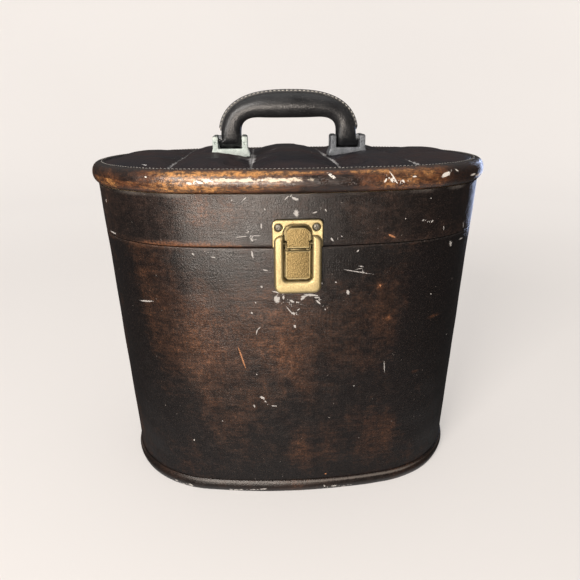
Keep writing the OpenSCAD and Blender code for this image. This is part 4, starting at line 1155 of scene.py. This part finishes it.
def welt():
    """The flat sewn flange along the grip's outer edge, rounded at its lip, and its stitches on both sides."""
    half = 1.3
    rows = []
    for t in np.linspace(math.radians(7), math.radians(173), 150):
        o, v = arch_out(t), arch_out(t) - arch_in(t)
        rows.append((o, v / np.linalg.norm(v)))
    section = rounded([(-0.35, -half), (WELT_H, -half), (WELT_H, half), (-0.35, half)], [0, 0.75, 0.75, 0], 4)
    verts = []
    for i, (o, v) in enumerate(rows):
        end = min(1.0, 0.35 + min(i, len(rows) - 1 - i) / 5)
        for rise, across in section:
            q = o + v * (rise if rise < 0 else rise * end)
            verts.append((q[0], across, PIN_Z + q[1]))
    look = grip_leather("welt_leather", (0.012, 0.012, 0.0125), 0.46, 0.5)
    finish_piece(tube("welt", verts, len(rows), len(section), look, 60), "handle", "grip", "handle_welt")

    line = np.array([o + v * 1.05 for o, v in rows])
    ends = [((a[0], f * half, PIN_Z + a[1]), (b[0], f * half, PIN_Z + b[1]), (0, f, 0))
            for i, a, b in sewn(line, 3.15, 2.1) if i for f in (-1, 1)]
    look = thread("welt_thread", (0.34, 0.325, 0.295))
    finish_piece(stitches("welt_stitches", ends, look, 0.35), "handle", "grip")


def brackets():
    """Cast U brackets with flared feet, a dimple in each outer ear and the pin's bore through both ears."""
    # One cast metal in two copies: the left bracket's is painted pale as if lit, the right one's painted dark
    # as if shaded.
    pale = rough_metal("pale_metal", (0.47, 0.53, 0.485), (0.62, 0.67, 0.62), 0.3, 0.5)
    dark = rough_metal("dark_metal", (0.15, 0.156, 0.168), (0.27, 0.28, 0.295), 0.45, 0.42)
    ear_in, ear, half, foot, high, deep = LEG_W / 2 + 0.4, 13.45, 15.0, 6.0, 16.0, 7.5
    for side, name, slot, look, node in ((-1, "bracket_painted_lit", "pale_metal", pale, "bracket_left"),
                                         (1, "bracket_painted_shade", "dark_metal", dark, "bracket_right")):
        bm = bmesh.new()
        outline = corner_loop([(half, 0, 0.5), (half, 1.9, 0.9), (ear, foot, 5), (ear, high, 1.9),
                               (ear_in, high, 0.7), (ear_in, foot, 0.9)], 5)
        plate_mesh(bm, [outline], -deep, deep, 0.55, 3, 0.55)
        obj = from_bm(name, bm, look, lambda q: q + np.array([side * LEG_X, 0, FOOT_Z]))
        bm = bmesh.new()
        rod_mesh(bm, (side * LEG_X, 0, PIN_Z), 2.03, 32, 28, 0.01)
        low, top, screw_r = FOOT_Z + foot - 2.2, FOOT_Z + foot + 2, 3.7
        for f in (-1, 1):
            x = side * LEG_X + f * 4.6
            lathe_mesh(bm, [(0, low), (screw_r, low), (screw_r, top), (0, top)],
                       lambda v: np.c_[v[:, 0] + x, v[:, 2], v[:, 1]], 28)
        for f in (-1, 1):
            x = side * LEG_X + side * f * 11.2
            lathe_mesh(bm, [(0, -0.6), (0.7, -0.5), (1.0, 0), (1.1, 1), (0, 1)],
                       lambda v: np.c_[v[:, 0] + x, -deep - v[:, 1], v[:, 2] + FOOT_Z + 10.3], 16)
        carve(obj, from_bm("cutter", bm, look), 45)
        finish_piece(obj, "lid", slot, node)


# The latch: places are (x, into the wall, up the wall) from the seam at its middle
SCREWS, SCREW_R = [(-12.3, 14.0), (12.3, 14.0)], 2.35
ARCH_HALF, ARCH_GAP = 9.2, 1.6
PLATE_FACE, PLATE_T, EYE, EYE_R, SPLIT = 5.3, 1.3, 4.54, 0.76, 0.91
LEVER_HALF, LEVER_LOW, PIVOT_Z = 8.15, -20.6, 4.0
HOOK_HALF, HOOK_NECK, HOOK_TOP = 8.3, 7.3, 14.4


def latch_piece(name, bm, look, patina_and_shade, body, node):
    """Sets a piece of the latch on the front. Its second material is the dark brass of its recesses and hidden
    faces: patina, and painted shade.
    """
    finish_piece(from_bm(name, bm, (look, patina_and_shade), on_front, 50), body, "brass", node)


def keeper(look, patina_and_shade):
    """A back plate, a front plate with the arched pocket and two recesses, and the two screws."""
    half, low, top, thick, back = 16.5, 0.7, 18.9, 2.7, 1.2
    arch_top, arch_r = HOOK_TOP + ARCH_GAP, ARCH_HALF * 0.62
    bm = bmesh.new()
    outer = corner_loop([(half, low, 0.5), (half, top, 3.4)])
    plate_mesh(bm, [outer, *[ring_loop(x, z, 1.4, 16) for x, z in SCREWS]], -back, -0.1, 0.02, 1)
    # The back plate, seen inside the arched pocket, is dark brass: patina and painted shade.
    darker(bm, 0)
    notched = corner_loop([(ARCH_HALF, arch_top, arch_r), (ARCH_HALF, low, 0.5), (half, low, 0.8),
                           (half, top, 3.4)], 9, turn=3)
    plate_mesh(bm, [notched, *[ring_loop(x, z, 2.5) for x, z in SCREWS]], -thick, -back, 0.75)
    latch_piece("keeper", bm, look, patina_and_shade, "lid", "keeper_plate")

    dark = plain_steel("dark_screw", (0.22, 0.2, 0.165), 0.5)
    bm = bmesh.new()
    for x, z in SCREWS:
        place = np.array([x, 0, z])
        lathe_mesh(bm, [(0, -2.55), (1.2, -2.5), (2.0, -2.2), (SCREW_R, -1.75), (SCREW_R, -1.3), (0, -1.3)],
                   lambda v: v + place, 26)
        lathe_mesh(bm, [(0, -1.3), (1.3, -1.3), (1.3, 3.9), (0, 3.9)], lambda v: v + place, 16)
    heads = from_bm("keeper_screw_heads", bm, dark, on_front)
    # The cross slots, two bars that run through each other
    bm = bmesh.new()
    for x, z in SCREWS:
        for a in (0.3, 0.3 + pi / 2):
            box_mesh(bm, [(u * cos(a) - w * sin(a) + x, y, u * sin(a) + w * cos(a) + z) for y in (-3.4, -1.75)
                          for u, w in ((-1.35, -0.28), (1.35, -0.28), (1.35, 0.28), (-1.35, 0.28))])
    carve(heads, from_bm("cutter", bm, dark, on_front), 40, use_self=True)
    finish_piece(heads, "lid", "brass", "keeper_screws")


def latch_frame(look, patina_and_shade):
    """A thin plate on the body, and the raised rounded U frame with its arms in front of the keeper."""
    half, low, rise, hole, cut = 15.6, -30.6, 9.0, 9.2, 0.02
    inner = low + 8.8
    bm = bmesh.new()
    plate_mesh(bm, [corner_loop([(half, low, 5), (half, -0.6, 0.2)])], -1.0, -0.1, cut, 1)
    # The thin plate under and behind the raised frame is dark brass: patina and painted shade.
    darker(bm, 0)
    full = corner_loop([(half, low, 5), (half, rise, 4.6), (hole, rise, 1.2), (hole, inner, 2.6)], 9)
    plate_mesh(bm, [full], -5.8, -3.1, 2.1, 7)
    top, half, hole = -0.6 - cut, half - cut, hole + cut
    under = corner_loop([(half, low + cut, 5), (half, top, 0.3), (hole, top, 0.3), (hole, inner - cut, 2.6)], 9)
    plate_mesh(bm, [under], -3.12, -0.95, cut, 1)
    latch_piece("latch_u_frame", bm, look, patina_and_shade, "case_body", "latch_frame")


def lever(patina_and_shade):
    """A grained cover plate with cheeks, pivot stubs and pin eyes."""
    w = LEVER_HALF
    look = antique_brass("lever_brass", (w - 0.75, SEAM - SPLIT - 0.7, SEAM + LEVER_LOW + 0.9), 0.62)
    bm = bmesh.new()
    outline = corner_loop([(w, LEVER_LOW, 2.6), (w, -SPLIT, 0.55)], 8)
    plate_mesh(bm, [outline], -PLATE_FACE, PLATE_T - PLATE_FACE, 0.5)
    start = len(bm.faces)
    for s in (-1, 1):
        cheek = ((-5.04, -4.9), (-3.64, -4.9), (-3.64, PIVOT_Z), (-5.04, PIVOT_Z))
        box_mesh(bm, [(s * (w - deep), y, z) for deep in (0.7, 0.02) for y, z in cheek])
        rod_mesh(bm, (s * (w - 0.36), -EYE, PIVOT_Z), 1.2, 0.68, 24, 0.08)
        rod_mesh(bm, (s * (w + 1.6), -EYE, PIVOT_Z), 0.6, 4.6, 16, 0.1)
        rod_mesh(bm, (s * (w - 1.45), -EYE, 0), EYE_R, 2.88, 20, 0.1)
    # Cheeks, stubs and eyes behind the plate are dark brass: patina and painted shade.
    darker(bm, start)
    latch_piece("latch_lever_plate", bm, look, patina_and_shade, "lever", "latch_lever")


def hook(patina_and_shade):
    """The plate that is arched above, with its eye on the lever's pin and its lip behind."""
    w, neck = HOOK_HALF, HOOK_NECK
    look = antique_brass("hook_brass", (w - 0.8, SEAM + HOOK_TOP - 0.8, SEAM + 1.6), 0.66)
    bm = bmesh.new()
    outline = corner_loop([(neck, SPLIT, 0.5), (neck, 5.4, 0.4), (w, 6.4, 0.4), (w, HOOK_TOP, 4.9)], 8)
    plate_mesh(bm, [outline], -PLATE_FACE, PLATE_T - PLATE_FACE, 0.5)
    start = len(bm.faces)
    plate_mesh(bm, [corner_loop([(3.9, 12.4, 0.3), (3.9, 13.9, 0.3)], 3)], -4.4, -1.8, 0.05, 1)
    rod_mesh(bm, (0, -EYE, 0), EYE_R, 9.9, 20, 0.1)
    # The lip behind and the eye are dark brass: patina and painted shade.
    darker(bm, start)
    latch_piece("latch_hook_plate", bm, look, patina_and_shade, "hook", "latch_hook")


def latch():
    """The whole toggle latch, in antique brass that is dark in its recesses and on its hidden faces, partly
    patina and partly painted shade.
    """
    # Very dark brass for recesses and hidden faces: partly patina, partly painted shade.
    patina_and_shade = antique_brass("recess_patina_and_shade_brass", tone=0.24)
    keeper(antique_brass("keeper_brass", tone=0.74), patina_and_shade)
    latch_frame(antique_brass("frame_brass", tone=0.7), patina_and_shade)
    lever(patina_and_shade)
    hook(patina_and_shade)


def cushion(name, off, z0, z1, flip, look, dimples, body, node, openings=()):
    """A crowned padded card on the oval grown by off, from z0 to z1, with buttons' dimples and openings."""
    st, n_r = oval(60, 36), 26
    turns = [sin(pi / 2 * k / n_r) for k in range(1, n_r + 1)]
    edge = st[:, :2] + st[:, 2:] * off
    xy = np.vstack([*(edge * t for t in turns), np.zeros((1, 2))])
    share = np.r_[np.repeat(turns, len(st)), 0]
    crown = (1 - share ** 10) ** 0.5
    thick = (z1 - z0) * (0.35 + 0.65 * crown)
    for cx, cy in dimples:
        thick = thick * (1 - 0.55 * np.exp(-(np.hypot(xy[:, 0] - cx, xy[:, 1] - cy) / 7) ** 2))
    relief = 0.1 * smooth_noise(np.c_[xy, np.zeros(len(xy))], 25, 81)
    thick = np.maximum(thick + relief * crown - 0.1, 0.3)
    puffed, flat = (z1 - thick, z1) if flip else (z0 + thick, z0)
    m, n = len(st), len(xy)
    last = (n_r - 1) * m
    verts = np.vstack([np.c_[xy, puffed], np.c_[edge, np.full(m, flat)]])
    faces = [*grid_faces(n_r, m), *((n - 1, i, (i + 1) % m) for i in range(m)),
             *((last + i, last + (i + 1) % m, n + (i + 1) % m, n + i) for i in range(m)), range(n, n + m)]
    piece = new_mesh(name, verts, faces, look, sharp=60)
    for cx, cy, hx, hy in openings:
        bm = bmesh.new()
        plate_mesh(bm, [corner_loop([(hx, -hy, 1.2), (hx, hy, 1.2)], 4)], z0 - 3, z1 + 3, 0.02, 1)
        cutter = from_bm("cutter", bm, look, lambda q: np.c_[q[:, 0] + cx, cy - q[:, 2], q[:, 1]])
        carve(piece, cutter, 60)
    finish_piece(piece, body, "lining", node, padded=0.5)


def insides():
    """Linings, collar and cushions."""
    tan = (0.33, 0.245, 0.165)
    lining = woven_cloth("lining_cloth", tan)
    low, skirt_low = 6, SEAM + 0.4
    section = rounded([(shift(low) - LINING_IN, low), (shift(low) - LINING_OUT, low), (-LINING_OUT, SEAM),
                       (-LINING_IN, SEAM)], [0, 0, 0, 0.4], 3)
    piece = band("body_inner_lining", dense(section, 6), lining, 120, 70,
                 lambda p, out: np.where(out < shift(p[:, 2]) - 4.6, -0.05 + 0.05 * smooth_noise(p, 30, 71), 0))
    finish_piece(piece, "case_body", "lining", "body_lining")

    top = SEAM + 7
    section = rounded([(-7.92, 171), (-6.3, 171), (-5.5, SEAM), (-5.9, top), (-7.1, top), (-7.1, SEAM)],
                      [0.3, 0.3, 0, 0.5, 0.5, 0], 3)
    look = woven_cloth("collar_cloth", (0.29, 0.21, 0.14), 0.8)
    finish_piece(band("collar_ring", dense(section, 4), look, 120, 70), "case_body", "lining", "collar")

    section = rounded([(shift(skirt_low) - LINING_IN, skirt_low), (shift(skirt_low) - LINING_OUT, skirt_low),
                       (RIM_LEAN - LINING_OUT, RIM), (RIM_LEAN - LINING_IN, RIM)], [0.35, 0, 0, 0], 3)
    piece = band("lid_inner_lining", dense(section, 5), lining, 120, 70)
    finish_piece(piece, "lid", "lining", "skirt_lining")

    grid = [(x, y) for x in (-90, -45, 0, 45, 90) for y in (-38, 0, 38)]
    floor_z, ceiling_t = 5.3, 2.8
    cushion("floor_cushion", shift(floor_z) - LINING_IN - 0.2, floor_z, floor_z + 2.5, False,
            woven_cloth("floor_cloth", tan, 1.0), grid, "case_body", "floor_pad")
    cushion("ceiling_cushion", RIM_LEAN - LINING_IN - 0.35, RIM - ceiling_t, RIM, True,
            woven_cloth("ceiling_cloth", tan, 1.0), [(x, y) for x, y in grid if y], "lid", "ceiling_pad",
            openings=[(s * LEG_X, 0, 12.2, 7.2) for s in (-1, 1)])


def carried_nodes(brass):
    """Finishes for the CAD nodes that stay: boards, base cover, steel parts and hinge leaves."""
    base = case_leather("base_leather", (0.011, 0.008, 0.0075), (0.045, 0.024, 0.016), (0.12, 0.05, 0.025),
                        0.0, 0.5, 0.5, 80.0)
    dull = plain_steel("dull_steel", (0.2, 0.2, 0.2), 0.55)
    for look, names in ((base, "base_cover"),
                        (fibre_board(), "floor_board body_board skirt_board top_board"),
                        (plain_steel(), "handle_core handle_pins hinge_pins"),
                        (dull, "backing_plates bracket_nuts bracket_screws"),
                        # The hook's pin, between the eyes, is dark brass: patina and painted shade.
                        (antique_brass("pin_patina_and_shade_brass", tone=0.3), "hook_pin"),
                        (brass, "body_leaves lid_leaves latch_rivets")):
        for name in names.split():
            mesh = NODES[name].data
            mesh.materials.clear()
            mesh.materials.append(look.mat)
    for name in ("body_leaves", "lid_leaves", "handle_pins", "bracket_screws", "latch_rivets"):
        weld = NODES[name].modifiers.new("weld", "WELD")
        weld.merge_threshold = 0.01 * MM
        soft = NODES[name].modifiers.new("soft", "BEVEL")
        soft.width, soft.segments, soft.limit_method = 0.2 * MM, 2, "ANGLE"
        soft.angle_limit = math.radians(40)


def rivet_heads(name, side, body, node, brass):
    """Domed rivets of one half of the hinges, below (side -1) or above (side 1) the seam."""
    bm = bmesh.new()
    dome = [(0, -3.8), (1.3, -3.8), (1.3, 1.4), (2.5, 1.42), (2.4, 1.75), (1.9, 2.08), (1.1, 2.27), (0, 2.3)]
    for a in (math.asin(HINGE_X / SIDE_R), -math.asin(HINGE_X / SIDE_R)):
        for across in (-8, 8):
            def place(v):
                x, y, z = v[:, 0] + across, v[:, 1], v[:, 2] + side * 10
                y, z = y * cos(LEAN_A) + z * sin(LEAN_A) + SIDE_R, -y * sin(LEAN_A) + z * cos(LEAN_A)
                return np.c_[x * cos(a) - y * sin(a), x * sin(a) + y * cos(a) - SIDE_Y, z + SEAM]
            lathe_mesh(bm, dome, place)
    finish_piece(from_bm(name, bm, brass, sharp=35), body, "brass", node)


def pale_floor():
    """A floor that gives a little light of its own and runs up all round."""
    look = Look("floor", Specular_IOR_Level=0.0, Roughness=0.9)
    far = look.vec("LENGTH", look.vec("MULTIPLY", look.p, (1, 1, 0.5)))
    tint = look.ramp(look.noise(900, 2, 0.4, seed=1.1), 0.3, 0.7)
    look.set(Emission_Color=(1.0, 0.955, 0.915), Emission_Strength=look.ramp(far, 300, 1500, 0.405, 0.515),
             Base_Color=look.coats((0.34, 0.325, 0.315), (tint, (0.355, 0.34, 0.33))))
    flat, bend, steps, turns, drop = 1500, 900, 14, 96, 0.02
    profile = [(r, 0.0) for r in (150, 400, 800, flat)]
    profile += [(flat + bend * sin(a), bend - bend * cos(a))
                for a in (pi / 2 * k / steps for k in range(1, steps + 1))]
    profile.append((flat + bend, 3000))
    verts = [(0, 0, -drop)] + [(r * cos(a), r * sin(a), z - drop) for r, z in profile
                               for a in (2 * pi * k / turns for k in range(turns))]
    faces = [*((0, 1 + i, 1 + (i + 1) % turns) for i in range(turns)), *(1 + grid_faces(len(profile), turns))]
    floor = new_mesh("floor", verts, faces, look)
    # The case mirrors the soft grey world instead of the floor
    floor.visible_glossy = False


def soft_world():
    """A grey surround, brighter towards the top and straight below."""
    world = bpy.data.worlds.new("world")
    world.use_nodes = True
    tree = world.node_tree
    coord, split, total = (tree.nodes.new("ShaderNode" + k) for k in ("TexCoord", "SeparateXYZ", "Math"))
    tree.links.new(coord.outputs["Generated"], split.inputs[0])
    for i, ramp_values in enumerate(((0.1, 0.95, 0.05, 0.44), (-0.85, -0.55, 0.75, 0.0))):
        ramp = tree.nodes.new("ShaderNodeMapRange")
        tree.links.new(split.outputs[2], ramp.inputs[0])
        for k, value in enumerate(ramp_values, 1):
            ramp.inputs[k].default_value = value
        tree.links.new(ramp.outputs[0], total.inputs[i])
    back = tree.nodes["Background"]
    tree.links.new(total.outputs[0], back.inputs["Strength"])
    back.inputs["Color"].default_value = (1.0, 0.985, 0.97, 1)
    bpy.context.scene.world = world


def stage():
    """The floor, the surround and soft lights. The gleam shows only in reflections."""
    pale_floor()
    soft_world()
    area_light("key", (-1.05, -1.65, 1.0), (0, 0, 0.15), (0.7, 0.7), 51, (1, 0.95, 0.9))
    area_light("low", (-0.22, -0.9, 0.08), (-0.03, -0.1, 0.2), (0.4, 0.12), 10.5, (1, 0.89, 0.79))
    gleam = area_light("gleam", (0.8, 0.85, 0.2), (0.1, 0, 0.12), (0.14, 0.5), 1.8, (0.6, 0.7, 1))
    gleam.visible_diffuse = False
    area_light("top", (0.0, -0.1, 2.2), (0, 0, 0.1), (2.4, 2.4), 10)
    view = bpy.context.scene.view_settings
    view.view_transform, view.look, view.exposure, view.gamma = "Standard", "None", 0.0, 1.0


make_camera()
stage()
for build in (body_walls, base_ring, skirt_walls, rim_roll, piping, quilted_pad, pad_threads, grip, welt,
              brackets, latch, insides):
    build()
hinge_brass = antique_brass("hinge_brass", tone=0.85)
carried_nodes(hinge_brass)
rivet_heads("body_rivet_heads", -1, "case_body", "body_leaf_rivets", hinge_brass)
rivet_heads("lid_rivet_heads", 1, "lid", "lid_leaf_rivets", hinge_brass)
